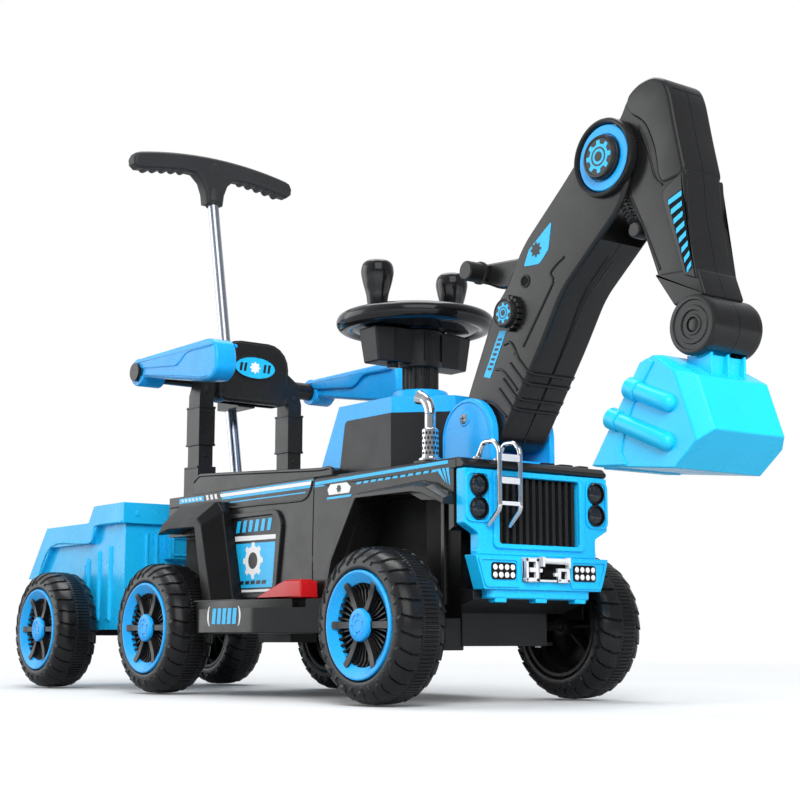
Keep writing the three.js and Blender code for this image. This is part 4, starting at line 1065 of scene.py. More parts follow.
def exhaust():
    x, y = -82, -8
    foot = rounded([(x - 15, y - 14), (x + 15, y - 14), (x + 15, y + 14), (x - 15, y + 14)], 5)
    piece("exhaust_foot", prism("z", foot, 262, 266), BLACK, bevel=1.2, segments=3)
    flange = lathe([(0, 266), (13, 266), (13, 268.2), (10.4, 268.8), (10.2, 270), (0, 270)],
                   (x, y, 0), "z", 40)
    stack = lathe([(0, 269), (9.4, 269), (9.4, 300.4), (8.6, 301.6), (7.4, 302.4), (0, 302.4)],
                  (x, y, 0), "z", 40)
    holes = []
    for row in range(HOLE_ROWS):
        for i in range(HOLES_AROUND):
            t = 2 * math.pi * (i + 0.5 * (row % 2)) / HOLES_AROUND
            out = Vector((math.cos(t), math.sin(t), 0))
            holes.append(exhaust_hole(Vector((x, y, 274 + row * 5.6)) + out * 9.3, out))
    path = smooth_path([(x, y, 300), (x, y, 312), (x, y, 321), (x - 0.5, y + 3, 330), (x - 1.5, y + 9, 336),
                        (x - 3, y + 16, 339)], 8)
    pipe = sweep(path, lambda share: 6.2 + 0.4 * share + 7.8 * max(0.0, share - 0.8), 28)
    obj = piece("exhaust_pipe", merged(flange, stack, pipe), CHROME)
    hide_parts("exhaust_stack")
    # The dark plugs in the holes are painted shade.
    piece("exhaust_hole_shades", merged(*holes), PRINT_AND_SHADE_BLACK)
    # A dark disc just inside the pipe's end: painted shade in its mouth.
    end = Vector(path[-1])
    lookout = (end - Vector(path[-3])).normalized()
    piece("exhaust_mouth_shade", sweep([end - lookout, end + lookout * 0.3], 6.0, 24), PRINT_AND_SHADE_BLACK)


def valance():
    side = [(-83, 122), (-83, 112), (-41, 98), (-37, 104), (-60, 124)]
    piece("front_valance", prism("x", side, -84, 84), SATIN, bevel=1.4)
    piece("front_guard", block(-86, -58, -36, -28, 58, 100), SATIN, bevel=1.4)


fascia_details()
bumper_details()
winch()
ladder()
exhaust()
valance()


# ---------- boom ----------
BOOM_SIDE = 34.0
BOOM_LINE = [
    (-55, 277), (-12, 284), (-6, 312), (-14, 340), (-65, 440), (-83, 456), (-111, 499), (-179, 556),
    (-203, 578), (-243, 606), (-278, 545), (-261, 508), (-174, 436), (-141, 384), (-70.8, 284),
]
BOOM_KNOB = (-91, 424.5)
BOOM_HOLE = (-116, 457)
GRAB_BAR = (0, -32, 483)


def elbow_joint(side):
    tag = "right" if side < 0 else "left"
    centre = (0, *ELBOW)
    housing = ring([(42, 32), (42, 38.6), (41.2, 40.6), (39.4, 41.4), (37.4, 40.6), (36.4, 38.4), (35.6, 36),
                    (35.6, 32)], centre, "x", 96, side)
    piece(f"elbow_housing_{tag}", housing, BLACK, "boom")
    blue = lathe([(0, 35), (35.2, 35), (35.2, 37.4), (34.2, 38.4), (25.6, 38.4), (24.4, 37.2), (0, 37.2)],
                 centre, "x", 96, side)
    disc = piece(f"elbow_disc_{tag}", blue, BLUE, "boom")
    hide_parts(f"elbow_cap_{tag}")
    cap = lathe([(0, 45.0), (19.4, 45.0), (20.0, 45.9), (21.8, 45.5), (22.9, 44.0), (23.1, 42.0),
                 (23.8, 41.4), (23.8, 36), (0, 36)], centre, "x", 96, side)
    piece(f"elbow_button_{tag}", cap, BLACK, "boom")
    gear_emblem("elbow", ELBOW, 17.6, 45.0, side, SKY, "boom")


def boom():
    smooth = rounded(BOOM_LINE, 16, 6)
    half = forked_half(smooth, ELBOW, 84, -29.4, -BOOM_SIDE, -0.3, 4.5)
    for side, turned in SIDES:
        shell = piece(f"boom_{side}", turned(half), BLACK, "boom")
        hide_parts(f"boom_shell_{side}")
    for side in (-1, 1):
        elbow_joint(side)
    low, high = Vector((-70.8, 284)), Vector((-142.7, 384))         # the boom's front edge
    across = Vector((high.y - low.y, low.x - high.x)).normalized()
    bands = []
    for share in (0.34, 0.44, 0.60, 0.70):
        p = low.lerp(high, share)
        top, near, edge = p + across * 30, p + across * 4, p - across * 0.4
        path = [(-BOOM_SIDE, top.x, top.y + 8), (-BOOM_SIDE - 0.2, near.x, near.y),
                (-BOOM_SIDE + 5, edge.x, edge.y), (BOOM_SIDE - 5, edge.x, edge.y),
                (BOOM_SIDE + 0.2, near.x, near.y), (BOOM_SIDE, top.x, top.y + 8)]
        bands.append(sweep(path, 1.9, 12))
    piece("boom_collars", merged(*bands), BLACK, "boom")
    seam = line_at(0, [(-72, 285.2), (-142.7, 383.2), (-176.5, 432.2), (-215, 463.6)])
    piece("boom_under_seam", sweep(seam, 0.9, 8), BLACK, "boom")
    grooves = [
        [(-177.5, 472), (-165, 466), (-156, 458), (-160, 449), (-148, 432), (-111, 385)],
        [(-80, 392), (-92, 391.5), (-105.5, 369)], [(-66, 366), (-78, 362), (-100.6, 338.5)],
        [(-50, 330), (-63, 326), (-82.5, 311)],
    ]
    lines = [sweep(smooth_path(line_at(-BOOM_SIDE - 0.1, line), 6), 1.7, 12) for line in grooves]
    both_sides("boom_ribs", merged(*lines), BLACK, "boom")


def boom_knob():
    y0, z0 = BOOM_KNOB
    knob = lathe([(0, 45), (13.4, 45), (14.2, 46), (15.6, 45.4), (16.4, 43.8), (16.4, 33), (0, 33)],
                 (0, y0, z0), "x", 64, -1)
    piece("boom_knob", knob, BLACK, "boom")
    teeth = []
    for i in range(9):
        t = math.radians(-80 + i * 20)
        y, z = y0 - 18.0 * math.cos(t), z0 + 18.0 * math.sin(t)
        teeth.append(block(-BOOM_SIDE - 7, -BOOM_SIDE + 1, y - 2.6, y + 2.6, z - 2.6, z + 2.6))
    piece("boom_knob_teeth", merged(*teeth), BLACK, "boom", bevel=1.0)
    gear_emblem("boom_knob", BOOM_KNOB, 11.4, 45.0, -1, SKY, "boom")


def boom_labels():
    diamond = rounded([(-159, 515), (-153.5, 485), (-139, 472), (-114, 473.6), (-122.5, 491)], 3, 3)
    strip = [(-84, 407), (-72.5, 408.5), (-45, 360.5), (-55.5, 357.5)]
    both_sides("boom_blue_labels", side_plates([diamond, strip], BOOM_SIDE, 0.4, 1), SKY, "boom")
    marks = [gear_outline((-134, 489), 8.5, 6.4)]
    top_back, top_front, low_front, low_back = (Vector(corner) for corner in strip)
    step = (low_back - top_back).normalized() * 3.0
    for i in range(7):
        share = 0.16 + i * 0.105
        back, front = top_back.lerp(low_back, share), top_front.lerp(low_front, share)
        a, b = back.lerp(front, 0.24), back.lerp(front, 0.76)
        marks.append([tuple(a), tuple(b), tuple(b + step), tuple(a + step)])
    both_sides("boom_black_marks", side_plates(marks, BOOM_SIDE, 0.7, 1), PRINT_AND_SHADE_BLACK, "boom")
    # A near-black disc in the hole: painted shade inside it.
    both_sides("boom_side_hole_shade", side_plates([circle(BOOM_HOLE, 5.4)], BOOM_SIDE, 0.3, 1), PAINTED_SHADE_BLACK, "boom")
    rim = ring([(5.4, 33), (5.4, 34.9), (6.4, 35.2), (7.4, 34.8), (7.6, 33)], (0, *BOOM_HOLE), "x", 48, -1)
    both_sides("boom_hole_rim", rim, BLACK, "boom")


def boom_handle():
    bar = lathe([(0, -50), (9.5, -50), (11.2, -48.8), (11.5, -47), (11.5, 47), (11.2, 48.8), (9.5, 50),
                 (0, 50)], GRAB_BAR, "x", 48)
    web = cushion("x", rounded([(-32, 493.5), (-104, 488.5), (-82, 457.2), (-60, 460), (-30, 473)], 7),
                  -24, 24, 2.5, 4, 2.5)
    collars = [ring([(11.4, a), (13.2, a + 0.8), (13.2, a + 4), (11.4, a + 4.8)], GRAB_BAR, "x", 48)
               for a in (-30, 25)]
    obj = piece("boom_grab_handle", merged(bar, web, *collars), BLACK, "boom")
    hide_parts("boom_handle")


boom()
boom_knob()
boom_labels()
boom_handle()


# ---------- stick ----------
STICK_SIDE = 27.0
STICK_LINE = [
    (-330, 392), (-304, 425), (-299, 439), (-280, 490), (-258, 526), (-232, 552), (-227, 575), (-240, 594),
    (-256, 606), (-266, 624), (-284, 635), (-306, 637), (-322, 628), (-328, 612), (-335, 570), (-345, 525),
    (-346, 487), (-357, 425), (-363, 412), (-366, 395),
]


def stick_front(z):
    """The y of the stick's front edge at a height."""
    if z > 487:
        return -346
    return -346 - (487 - z) * 11 / 62


def stick_details():
    panel_line = [(-344, 527), (-320, 516), (-315.5, 507), (-341, 422), (-359, 414.5), (-356, 430),
                  (-345.5, 487)]
    panel = cushion("x", rounded(panel_line, 4, 4), -STICK_SIDE + 6, -STICK_SIDE - 3.6, 2.0)
    slashes = []
    for i in range(8):
        z = 504 - i * 10.4
        back = -324.5 - 25.5 * (507 - z) / 86
        front = stick_front(z) + 3.4
        slashes.append([(back, z - 8.4), (back, z - 3.0), (front, z + 2.6), (front, z - 2.8)])
    top, bottom = slashes[0], slashes[-1]
    bed = [(top[0][0] + 1.6, 502), (top[3][0] - 1.0, 508.5), (bottom[3][0] - 1.0, 426.5),
           (bottom[0][0] + 1.6, 423)]
    both_sides("stick_panel", panel, BLACK, "stick")
    # The near-black plate under the slashes is painted shade between them.
    both_sides("stick_panel_shade", side_plates([bed], STICK_SIDE, 3.9, 0), PAINTED_SHADE_BLACK, "stick")
    both_sides("stick_blue_slashes", side_plates(slashes, STICK_SIDE, 4.4, 0), SKY, "stick")
    crown = [(-346, 524), (-336, 570), (-328, 612), (-322, 628), (-306, 637), (-284, 635), (-266, 624),
             (-270, 606), (-292, 590), (-304, 560), (-308, 530), (-315, 520)]
    both_sides("stick_crown", cushion("x", rounded(crown, 10, 4), -0.3, -STICK_SIDE - 1.6, 4.5), BLACK,
               "stick")
    foot = rounded([(-301, 430), (-358, 426), (-367.5, 398), (-327, 393)], 3, 3)
    both_sides("stick_foot", cushion("x", foot, -0.3, -STICK_SIDE - 1.8, 2.6), BLACK, "stick")
    creases = [[(-314, 520), (-304, 531), (-296, 560), (-284, 590)],
               [(-270, 518), (-287, 482), (-308, 434)]]
    lines = [sweep(smooth_path(line_at(-STICK_SIDE - 0.1, c), 6), 1.3, 10) for c in creases]
    both_sides("stick_creases", merged(*lines), BLACK, "stick")


def barrel():
    """The round end of the stick about the bucket's pin."""
    centre = (0, *BUCKET_PIVOT)
    end = ring([(7.6, 27.2), (30, 27.2), (30, 32), (29.2, 34.2), (27.4, 35), (24.8, 35), (24.0, 33.6),
                (19.4, 33.6), (18.6, 34.8), (14.6, 34.8), (13.8, 33.2), (10.6, 33.2), (10.0, 34.2),
                (7.6, 34.2)], centre, "x", 96, -1)
    skin = arc(BUCKET_PIVOT, 30, -36, 240, 48) + arc(BUCKET_PIVOT, 25.2, 240, -36, 48)
    both_sides("stick_barrel", merged(end, prism("x", skin, -27.6, -0.3)), BLACK, "stick")
    plug = lathe([(0, 33.4), (5.6, 33.2), (7.4, 32.4), (7.4, 28), (0, 28)], centre, "x", 48, -1)
    both_sides("stick_barrel_plug", plug, BLACK, "stick")


COIL_TURNS = 9
COIL_RADIUS = 4.6
STEPS_PER_TURN = 20


def stick_spring():
    start, stop = Vector((-21, -246, 532)), Vector((-24, -270, 492))
    axis = (stop - start).normalized()
    across = Vector((1, 0, 0))
    side = axis.cross(across).normalized()
    coil = []
    for i in range(COIL_TURNS * STEPS_PER_TURN + 1):
        share = i / (COIL_TURNS * STEPS_PER_TURN)
        t = 2 * math.pi * COIL_TURNS * share
        coil.append(start.lerp(stop, share) + (across * math.cos(t) + side * math.sin(t)) * COIL_RADIUS)
    spring = piece("stick_coil", sweep(coil, 1.15, 8), GLOSS, "stick")
    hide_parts("stick_spring")
    pin = lathe([(0, 31), (6.6, 31), (7.8, 30.2), (8.2, 28.6), (8.2, 16), (0, 16)],
                (0, -277, 481), "x", 40, -1)
    piece("spring_pin", pin, BLACK, "stick")


def stick():
    half = cushion("x", rounded(STICK_LINE, 12, 5), -0.3, -STICK_SIDE, 5.0)
    for side, turned in SIDES:
        shell = piece(f"stick_{side}", turned(half), BLACK, "stick")
        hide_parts(f"stick_shell_{side}")


stick()
stick_details()
barrel()
stick_spring()


# ---------- bucket ----------
def bucket_shell():
    """The scoop: a wall open along the edge from the lip to the rear of the top."""
    side = [(-243, 240), (-312, 336), (-328, 341), (-354, 322), (-380.2, 252.4), (-352, 229)]
    front = [(-243, 240), (-312, 336), (-330, 342), (-374, 317), (-393, 263), (-352, 229)]
    side_in = [(-245.5, 243.5), (-313.5, 332), (-327.5, 336.5), (-350.5, 319.5), (-376.0, 254.0),
               (-350.3, 233)]
    front_in = [(-245.5, 243.5), (-313.5, 332), (-329.5, 337.5), (-370.5, 314.5), (-388.8, 263.6),
                (-350.3, 233)]
    levels = [(-62, side), (-50, front), (50, front), (62, side)]
    inner = [(-58.5, side_in), (-48, front_in), (48, front_in), (58.5, side_in)]
    verts = [(x, y, z) for x, line in levels + inner for y, z in line]
    faces = []
    for shell in (0, 24):
        for r in range(3):
            a = shell + r * 6
            faces += [[a + i, a + (i + 1) % 6, a + 6 + (i + 1) % 6, a + 6 + i] for i in range(1, 6)]
        faces += [[shell + i for i in range(6)], [shell + 18 + i for i in range(6)]]
    loop = [0, 1, 7, 13, 19, 18, 12, 6]
    faces += [[loop[i], loop[(i + 1) % 8], loop[(i + 1) % 8] + 24, loop[i] + 24] for i in range(8)]
    return verts, faces


def bucket():
    shell = piece("bucket_scoop", bucket_shell(), CYAN, "bucket", bevel=1.5, segments=4, angle=12)
    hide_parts("bucket")
    axes = (((-295, 313.5), (-355, 288)), ((-269, 286.5), (-352, 251)))
    bosses = [capsule(a, b, -62.5, 9.4) for a, b in axes]
    for (y0, z0), (y1, z1) in axes:
        along = Vector((0, y1 - y0, z1 - z0)).normalized()
        start = Vector((-62.5, y0, z0)) + along * 1.0
        collar = [start, start + along * 1.2, start + along * 14, start + along * 15]
        bosses.append(sweep(collar, lambda share: 11.0 if 0.2 < share < 0.8 else 9.8, 28))
    both_sides("bucket_bosses", merged(*bosses), CYAN, "bucket")
    band = [(-243.5, 240.6), (-311.6, 335.4), (-321, 338.4), (-330, 334), (-316, 316), (-300, 292),
            (-289, 268), (-284, 250), (-291, 237.2)]
    both_sides("bucket_rim", cushion("x", band, -60, -63.8, 1.3), CYAN, "bucket")
    lip = cushion("x", rounded([(-241.5, 238.4), (-246.5, 246.4), (-262, 240.8), (-262, 236.6)], 1.2, 3),
                  0, 46, 1.2)
    piece("bucket_lip", merged(lip, flipped(lip)), CYAN, "bucket")
    eye = ring([(7.4, -25.4), (17.6, -25.4), (18.6, -24.4), (18.6, 24.4), (17.6, 25.4), (7.4, 25.4)],
               (0, *BUCKET_PIVOT), "x", 64)
    under = arc(BUCKET_PIVOT, 31.4, 242, 300, 12)
    webs = [prism("x", under + [(-338, 333), (-369, 318)], x - 1.6, x + 1.6) for x in (-23.8, 0, 23.8)]
    core = prism("x", arc(BUCKET_PIVOT, 31.4, 250, 300, 12) + [(-338, 333), (-362, 322)], -25, 25)
    stem = block(-25, 25, -351, -343, 336, 356)
    piece("bucket_neck", merged(eye, *webs, core, stem), CYAN, "bucket", bevel=0.5)


bucket()


# ---------- console, column and steering wheel ----------
COLUMN = (0, 114, 0)
FLUTES = 12
WHEEL_CENTRE = (0, 124)
WHEEL_GRIP_X = 58


def console():
    low, high = 266, 329        # of the dark windows
    glass = [(65.2, low), (170, low), *arc((152.5, 322), 7, 18, 90, 6), (65.2, high)]
    both_sides("console_side_window", prism("x", glass, -80.5, -77), SATIN, bevel=0.4)
    (x0, y0), (x1, y1) = [(-80 + 56 * share, 66 - 56 * share) for share in (-0.012, 0.86)]
    corner = [(x0 - 0.5, y0 - 0.5), (x1 - 0.5, y1 - 0.5), (x1 + 2, y1 + 2), (x0 + 2, y0 + 2)]
    both_sides("console_corner_window", prism("z", corner, low, high), SATIN, bevel=0.4)
    piece("console_front_window", block(-19, 19, 9.6, 13, 270, high), SATIN, bevel=0.4)
    plan = [(-22, 16), (22, 16), (74, 68), (74, 168), (-74, 168), (-74, 68)]
    inner = piece("console_dark_core", cushion("z", plan, 264, 340, 4), SATIN)
    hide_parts("console_core")
    collar = ring([(21.6, 345), (38.5, 345), (38.5, 350), (37.4, 352), (34.6, 353), (34.2, 362), (33, 365),
                   (31, 366), (23, 366), (21.6, 364)], COLUMN, "z", 72)
    piece("console_collar", collar, BLUE)
    column = ring([(12, 360), (20.4, 360), (20.4, 397.6), (12, 397.6)], COLUMN, "z", 64)
    core = piece("column_tube", column, BLACK)
    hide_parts("steering_column")
    flutes = []
    for i in range(FLUTES):
        t = 2 * math.pi * i / FLUTES
        x, y = COLUMN[0] + 20.2 * math.cos(t), COLUMN[1] + 20.2 * math.sin(t)
        flutes.append(sweep([(x, y, 361), (x, y, 397)], 2.2, 12, up=Vector((0, 1, 0))))
    piece("column_flutes", merged(*flutes), BLACK)


def sound_box():
    high = [(-50, 98), (50, 98), (74, 106), (74, 141), (-74, 141), (-74, 106)]
    low = [(-48, 101), (48, 101), (68, 108), (68, 138), (-68, 138), (-68, 108)]
    case = loft("z", [(low, 397.9), (high, 440)])
    box = piece("sound_case", case, SATIN, bevel=2.2, segments=4, angle=12)
    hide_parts("sound_box")
    bulge = arc((0, 114), 27, 180, 360, 24) + [(27, 120), (-27, 120)]
    piece("sound_case_column", cushion("z", bulge, 439, 394.5, 1.5), SATIN)
    slots = [block(x, x + 2.4, 86.4 + abs(x) * 0.12, 92, 402, 436) for x in (-13, -4.4, 4.4, 13)]
    piece("sound_case_ribs", merged(*slots), SATIN, bevel=0.6)
    knob = lathe([(0, 0), (6, 0), (7, 1), (7, 5), (5.6, 6.4), (0, 6.4)], (-44, 112, 397.9), "z", 32, -1)
    piece("sound_case_knob", knob, GLOSS)


def steering():
    rim = sweep([(x, y, 452.6) for x, y in arc(WHEEL_CENTRE, 85, 0, 356.25, 95)], 12.0, 32, closed=True,
                squash=0.92)
    centre = (*WHEEL_CENTRE, 0)
    dish = lathe([(0, 442.4), (70, 442.4), (78, 445), (80, 450), (70, 449.6), (36, 451), (30, 457),
                  (0, 457)], centre, "z", 96)
    hub = lathe([(0, 440.4), (36, 440.4), (40, 443), (40, 448), (0, 448)], centre, "z", 64)
    wheel = piece("steering_rim", rim, GLOSS, "steering")
    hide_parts("steering_wheel")
    piece("steering_dish", merged(dish, hub), GLOSS, "steering")
    grip = [(13.4, 450), (12.6, 458), (12.0, 466), (13.6, 481), (17.4, 495), (19.6, 506), (19.8, 512),
            (18.2, 518.5), (14.2, 522.6), (7, 524.4), (0, 524.8)]
    curve = [(p.x, p.y) for p in smooth_path([(r, a, 0) for r, a in grip[:-1]], 4)]
    part = lathe([(0, grip[0][1]), *curve, grip[-1]], (0, 0, 0), "z", 56)
    for tag, x in (("right", -WHEEL_GRIP_X), ("left", WHEEL_GRIP_X)):
        obj = piece(f"steering_grip_{tag}", moved(part, x, WHEEL_CENTRE[1]), GLOSS, "steering")
        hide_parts(f"wheel_grip_{tag}")


EAR_CENTRE = (-29, 293)


def bracket():
    y, z = BOOM_PIVOT
    foot = 262.3
    ear = [(15, foot)] + arc(EAR_CENTRE, 44, 0, 180, 40) + [(-73, foot)]
    slab = cushion("x", ear, -38, -47, 2.6, 5)
    boss = lathe([(0, 48.2), (7.6, 48.2), (8.6, 47.4), (8.8, 46), (0, 46)], (0, y, z), "x", 48, -1)
    head = lathe([(0, 50.6), (2.4, 50.5), (4.6, 49.9), (5.8, 48.8), (6, 47.6), (0, 47.6)],
                 (0, y, z), "x", 40, -1)
    for tag, turned in SIDES:
        obj = piece(f"bracket_ear_{tag}", turned(slab), BLUE)
        screw = piece(f"bracket_screw_{tag}", turned(head), STEEL)
        if tag == "right":
            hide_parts("boom_bracket")
            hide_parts("bracket_pin")
    ridge = [(-47, 11, foot), *line_at(-47.2, arc(EAR_CENTRE, 39.5, 0, 180, 30)), (-47, -69, foot)]
    both_sides("bracket_ridge", sweep(ridge, 0.8, 8), BLUE)
    both_sides("bracket_boss", boss, BLUE)
    # A dark cross on each screw head: painted shade in its recess.
    cross = merged(block(-50.9, -49.6, y - 3.4, y + 3.4, z - 0.8, z + 0.8),
                   block(-50.9, -49.6, y - 0.8, y + 0.8, z - 3.4, z + 3.4))
    both_sides("bracket_screw_cross_shade", cross, PRINT_AND_SHADE_BLACK)
    piece("bracket_plate", block(-46, 46, -72, 8, 262.2, 266), BLUE, bevel=1.2)
    shaft = lathe([(0, -47), (6, -47), (6, 47), (0, 47)], (0, y, z), "x", 40)
    piece("bracket_shaft", shaft, STEEL)


console()
sound_box()
steering()
bracket()


# ---------- back rest, arm rests and push handle ----------
POST_X = 73
PAD_HEIGHT = 450            # middle of the label on the back rest
GRIP_HEIGHT = 775
GRIP_HALF = 126
TUBE_FOOT = Vector((0, 519, 202))
TUBE_TOP = Vector((0, 622, 731))


def armrest():
    line = rounded([(556, 446), (540, 452.5), (352, 452.5), (335, 447), (330, 430), (330, 410), (344, 398),
                    (372, 400), (430, 409), (520, 424), (545, 420)], 7, 4)
    pad = cushion("x", line, -128.5, -160, 4.2, 5, 3)
    step = smooth_path(line_at(-160, [(528, 437), (470, 431), (436, 427.5), (424, 430), (408, 439.5),
                                      (396, 441.5), (344, 440.5)]), 6)
    upper = [(549, 446), (540, 449.6), (352, 449.6), (338, 445.6), (336, 441), (396, 441.5), (408, 439.5),
             (424, 430), (436, 427.5), (470, 431), (528, 437)]
    relief = merged(sweep(step, 0.7, 10), cushion("x", rounded(upper, 2.5, 3), -158.6, -161.2, 1.1))
    inner_relief = moved(flipped(relief), -285)         # the same relief on the pad's inner face
    low = line_at(-160, [(520, 427.5), (440, 416), (372, 405), (350, 403.4)])
    relief = merged(relief, inner_relief, sweep(smooth_path(low, 6), 1.0, 10))
    eye = ring([(12.9, 125), (18.4, 125), (19, 127), (19, 158), (18.2, 159.6), (16.4, 160), (12.9, 160)],
               (0, *ARM_BAR), "x", 64, -1)
    lug = block(-160, -157, 534, 539, 418, 428)
    for tag, turned in SIDES:
        obj = piece(f"armrest_pad_{tag}", turned(merged(pad, eye)), BLUE, f"rest_{tag}")
        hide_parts(f"armrest_{tag}")
        piece(f"armrest_relief_{tag}", turned(relief), BLUE, f"rest_{tag}")
        piece(f"armrest_lug_{tag}", turned(lug), BLUE, f"rest_{tag}", bevel=1.0)


def backrest():
    profile = [(0, 165), (6, 164.6), (10.2, 162.4), (12.2, 159), (12.7, 155), (12.7, 118), (0, 118)]
    ends = [lathe(profile, (0, *ARM_BAR), "x", 48, side) for side in (-1, 1)]
    piece("arm_bar_ends", merged(*ends), BLACK)
    arch = (arc((-45, 411), 12, 180, 270, 6) + arc((45, 411), 12, 270, 360, 6)
            + arc((23, 453), 34, 0, 90, 12) + arc((-23, 453), 34, 90, 180, 12))
    pad = merged(cushion("y", arch, 510, 493.4, 6), cushion("y", arch, 510, 523.6, 5))
    piece("backrest_pad", pad, BLACK)
    centre = (0, PAD_HEIGHT)
    rim = frame_of(oval(centre, 36, 17.5), oval(centre, 33, 15), 491.8, 495, "y")
    piece("backrest_label_rim", rim, BLACK, bevel=0.7)
    piece("backrest_blue_label", prism("y", oval(centre, 33.4, 15.4), 492.9, 495), SKY)
    bars = [slanted(x, x + 4, 444, 456, 2) for x in (-26, -19, 13, 20)]
    piece("backrest_label_bars", merged(*(prism("y", bar, 492.6, 495) for bar in bars)), PRINT_AND_SHADE_BLACK)
    mark = gear_outline(centre, 8.5, 6.5)
    piece("backrest_label_cog", prism("y", mark, 492.6, 495), WHITE)
    posts = (-POST_X, POST_X)
    screws = [lathe([(0, 1.4), (3.2, 1.2), (4.4, 0.2), (4.4, -1), (0, -1)], (x, 501, z), "y", 24, -1)
              for x in posts for z in (322, 412)]
    piece("backrest_post_screws", merged(*screws), SATIN)
    bands = [block(x - half, x + half, 497.6, 534.4, z - 1.6, z + 1.6)
             for x in posts for z, half in ((304, 14.8), (336, 13.2), (388, 13.2))]
    piece("backrest_post_bands", merged(*bands), BLACK, bevel=0.8)


def grip_height(x, above):
    """Height of a line that lies above the bowed middle line of the push grip."""
    return GRIP_HEIGHT + above - 13 * (x / GRIP_HALF) ** 2


def push_handle():
    lean = (TUBE_TOP - TUBE_FOOT).normalized()
    sidewards = Vector((1, 0, 0))
    tube = sweep([TUBE_FOOT, TUBE_FOOT.lerp(TUBE_TOP, 0.5), TUBE_TOP], 8.0, 48, up=sidewards)
    bar = piece("push_tube", tube, REFLECTION_TINTED_TUBE, "push_handle")
    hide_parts("handle_tube")
    top_line = [(x, grip_height(x, 13.1)) for x in range(-116, 117, 8)]
    end = grip_height(GRIP_HALF, 0)
    right_end = [(126, end + 13), (133, end + 10), (137, end + 2), (136, end - 7), (129, end - 12.6)]
    under = [(x, grip_height(x, -13)) for x in (118, 90, 54)] + [(34, 759), (22, 748), (16, 732), (14, 716)]
    half_line = right_end + under
    paddle = top_line + half_line + [(-x, z) for x, z in reversed(half_line)]
    grip = merged(cushion("y", paddle, 623, 611, 5.5, 6), cushion("y", paddle, 623, 635, 5.5, 6))
    fingers = []
    for k in range(5):
        for x in (52 + k * 15.5, -52 - k * 15.5):
            z = grip_height(x, -9.4)
            fingers.append(sweep([(x, 613.5, z), (x, 632.5, z)], 6.6, 20, up=sidewards))
    stem = sweep([TUBE_TOP - lean * 16, TUBE_TOP - lean * 12, TUBE_TOP + lean * 24],
                 lambda share: 11.4 if share < 0.2 else 12.4, 40, up=sidewards)
    verts, faces = ring([(12.4, -14), (13.4, -13), (13.4, 8), (12.4, 9)], (0, 0, 0), "z", 48)
    tilt = Vector((0, 0, 1)).rotation_difference(lean)
    sleeve = ([tuple(tilt @ Vector(v) + TUBE_TOP) for v in verts], faces)
    obj = piece("push_grip", merged(grip, *fingers, stem, sleeve), GRIP, "push_handle")
    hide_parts("handle_grip")
    badge = lathe([(0, 12.8), (8.4, 12.6), (9.4, 11.8), (9.4, 9), (0, 9)], (0, 623, 770), "y", 40, -1)
    piece("push_grip_badge", badge, GRIP, "push_handle")


armrest()
backrest()
push_handle()


# ---------- trailer ----------
def trailer():
    ribs = [capsule((y, 96), (y, high), -103.4, 4.6, 20) for y, high in ((716, 206), (752, 200), (788, 190))]
    both_sides("trailer_ribs", merged(*ribs), LIT_BLUE, "trailer")
    band = line_at(-112, [(668, 238), (747, 238), (757, 228), (766, 213.5), (800, 213), (905, 213),
                          (957, 152)])
    both_sides("trailer_band", sweep(smooth_path(band, 4), 2.0, 12), LIT_BLUE, "trailer")
    pocket = rounded([(-36, 190), (36, 190), (36, 218), (-36, 218)], 5)
    front = frame_of(pocket, inset(pocket, 3), 653.6, 657, "y")
    piece("trailer_front_pocket", front, LIT_BLUE, "trailer", bevel=0.8)
    bars = [sweep(smooth_path([(x, 671.5, 108), (x, 671.5, 190), (x, 671.5, 222)], 3), 3.4, 16,
                  up=Vector((1, 0, 0))) for x in (-70, -54, 54, 70)]
    piece("trailer_front_ribs", merged(*bars), LIT_BLUE, "trailer")
    studs = [lathe([(0, 2.2), (2.6, 2.0), (3.6, 1.2), (3.6, -1), (0, -1)], (x, 664, 250), "y", 24, -1)
             for x in (-90, -30, 30, 90)]
    piece("trailer_front_studs", merged(*studs), LIT_BLUE, "trailer")
    pin = lathe([(0, 99.6), (4.2, 99.6), (6.4, 98.4), (6.8, 96), (6.8, 92.6), (0, 92.6)],
                (0, 590, 0), "z", 32)
    piece("hitch_pin_head", pin, STEEL)


trailer()


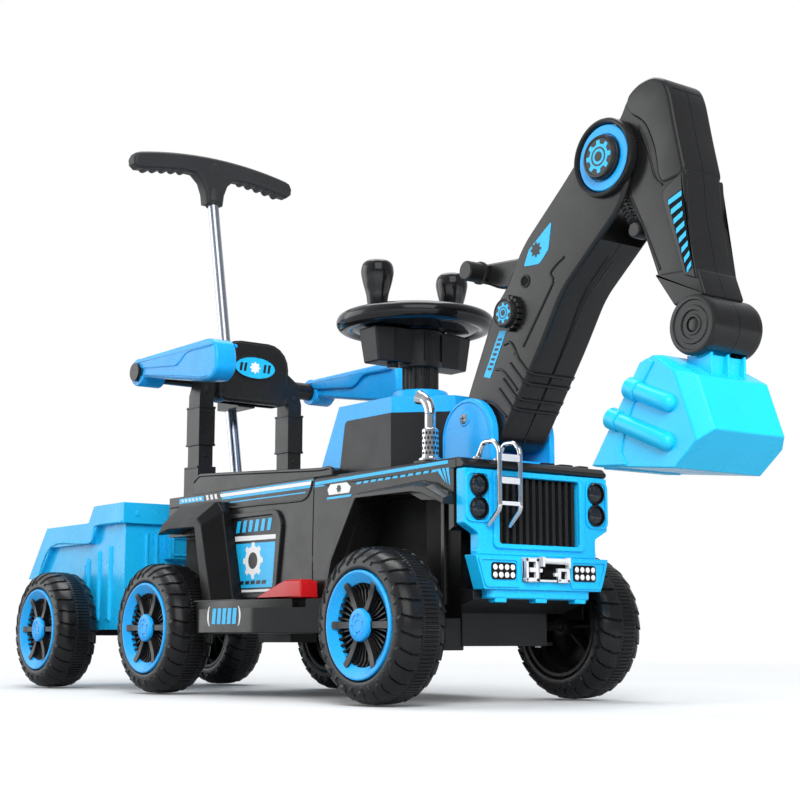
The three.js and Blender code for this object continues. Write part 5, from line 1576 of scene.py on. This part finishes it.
# ---------- floor and light ----------
def studio():
    mesh = bpy.data.meshes.new("floor")
    half = 14.0
    corners = [(-half, -half, 0), (half, -half, 0), (half, half, 0), (-half, half, 0)]
    mesh.from_pydata(corners, [], [(0, 1, 2, 3)])
    floor = bpy.data.objects.new("floor", mesh)
    bpy.context.scene.collection.objects.link(floor)
    floor.location.z = -0.0005
    material, nodes, links, shader = node_material("pale_floor")
    shown = tint(nodes, links, scaled_noise(nodes, links, 2.0), (0.80, 0.81, 0.82), 0.01)
    soft = tint(nodes, links, scaled_noise(nodes, links, 2.0), (0.34, 0.35, 0.36), 0.01)
    bounce = nodes.new("ShaderNodeMix")
    bounce.data_type = "RGBA"
    links.new(nodes.new("ShaderNodeLightPath").outputs["Is Camera Ray"], bounce.inputs["Factor"])
    links.new(soft, bounce.inputs["A"])
    links.new(shown, bounce.inputs["B"])
    links.new(bounce.outputs["Result"], shader.inputs["Base Color"])
    shader.inputs["Roughness"].default_value = 0.7
    shader.inputs["Specular IOR Level"].default_value = 0.2
    # Painted light: the floor glows more away from its centre, from none within 1 m to 0.6 at 4.5 m, so it
    # fades to white.
    distance = nodes.new("ShaderNodeVectorMath")
    distance.operation = "LENGTH"
    links.new(nodes.new("ShaderNodeTexCoord").outputs["Object"], distance.inputs[0])
    links.new(ramp(nodes, links, distance.outputs["Value"], 0.0, 0.6, 1.0, 4.5),
              shader.inputs["Emission Strength"])
    shader.inputs["Emission Color"].default_value = (1, 1, 1, 1)
    mesh.materials.append(material)
    world = bpy.data.worlds.new("studio")
    world.use_nodes = True
    nodes, links = world.node_tree.nodes, world.node_tree.links
    around = nodes["Background"]
    around.inputs["Color"].default_value = (0.95, 0.98, 1.0, 1)
    axes = nodes.new("ShaderNodeSeparateXYZ")
    links.new(nodes.new("ShaderNodeTexCoord").outputs["Generated"], axes.inputs["Vector"])
    links.new(ramp(nodes, links, axes.outputs["Y"], 0.24, 0.85, -0.4, 0.8), around.inputs["Strength"])
    backdrop = nodes.new("ShaderNodeBackground")
    backdrop.inputs["Color"].default_value = (1, 1, 1, 1)
    seen = nodes.new("ShaderNodeMixShader")
    links.new(nodes.new("ShaderNodeLightPath").outputs["Is Camera Ray"], seen.inputs["Fac"])
    links.new(around.outputs["Background"], seen.inputs[1])
    links.new(backdrop.outputs["Background"], seen.inputs[2])
    links.new(seen.outputs["Shader"], nodes["World Output"].inputs["Surface"])
    bpy.context.scene.world = world
    bpy.context.scene.view_settings.view_transform = "Standard"
    for name, place, energy, size in (
        ("key", (-2.2, -3.2, 2.4), 175.0, 2.4),
        ("front_fill", (0.7, -3.3, 0.22), 66.0, 1.6),
        ("glint", (-1.9, -3.4, 2.9), 55.0, 3.4),
        ("side_panel", (-2.6, 2.9, 1.1), 39.0, 3.0),
        ("overhead", (0.4, 0.6, 3.0), 40.0, 2.0),
    ):
        data = bpy.data.lights.new(name, "AREA")
        data.energy = energy
        data.size = size
        lamp = bpy.data.objects.new(name, data)
        bpy.context.scene.collection.objects.link(lamp)
        lamp.location = place
        lamp.visible_camera = False
        lamp.visible_glossy = name not in ("key", "front_fill")
        lamp.rotation_mode = "QUATERNION"
        lamp.rotation_quaternion = (Vector((0, 0, 0.35)) - Vector(place)).to_track_quat("-Z", "Y")


studio()
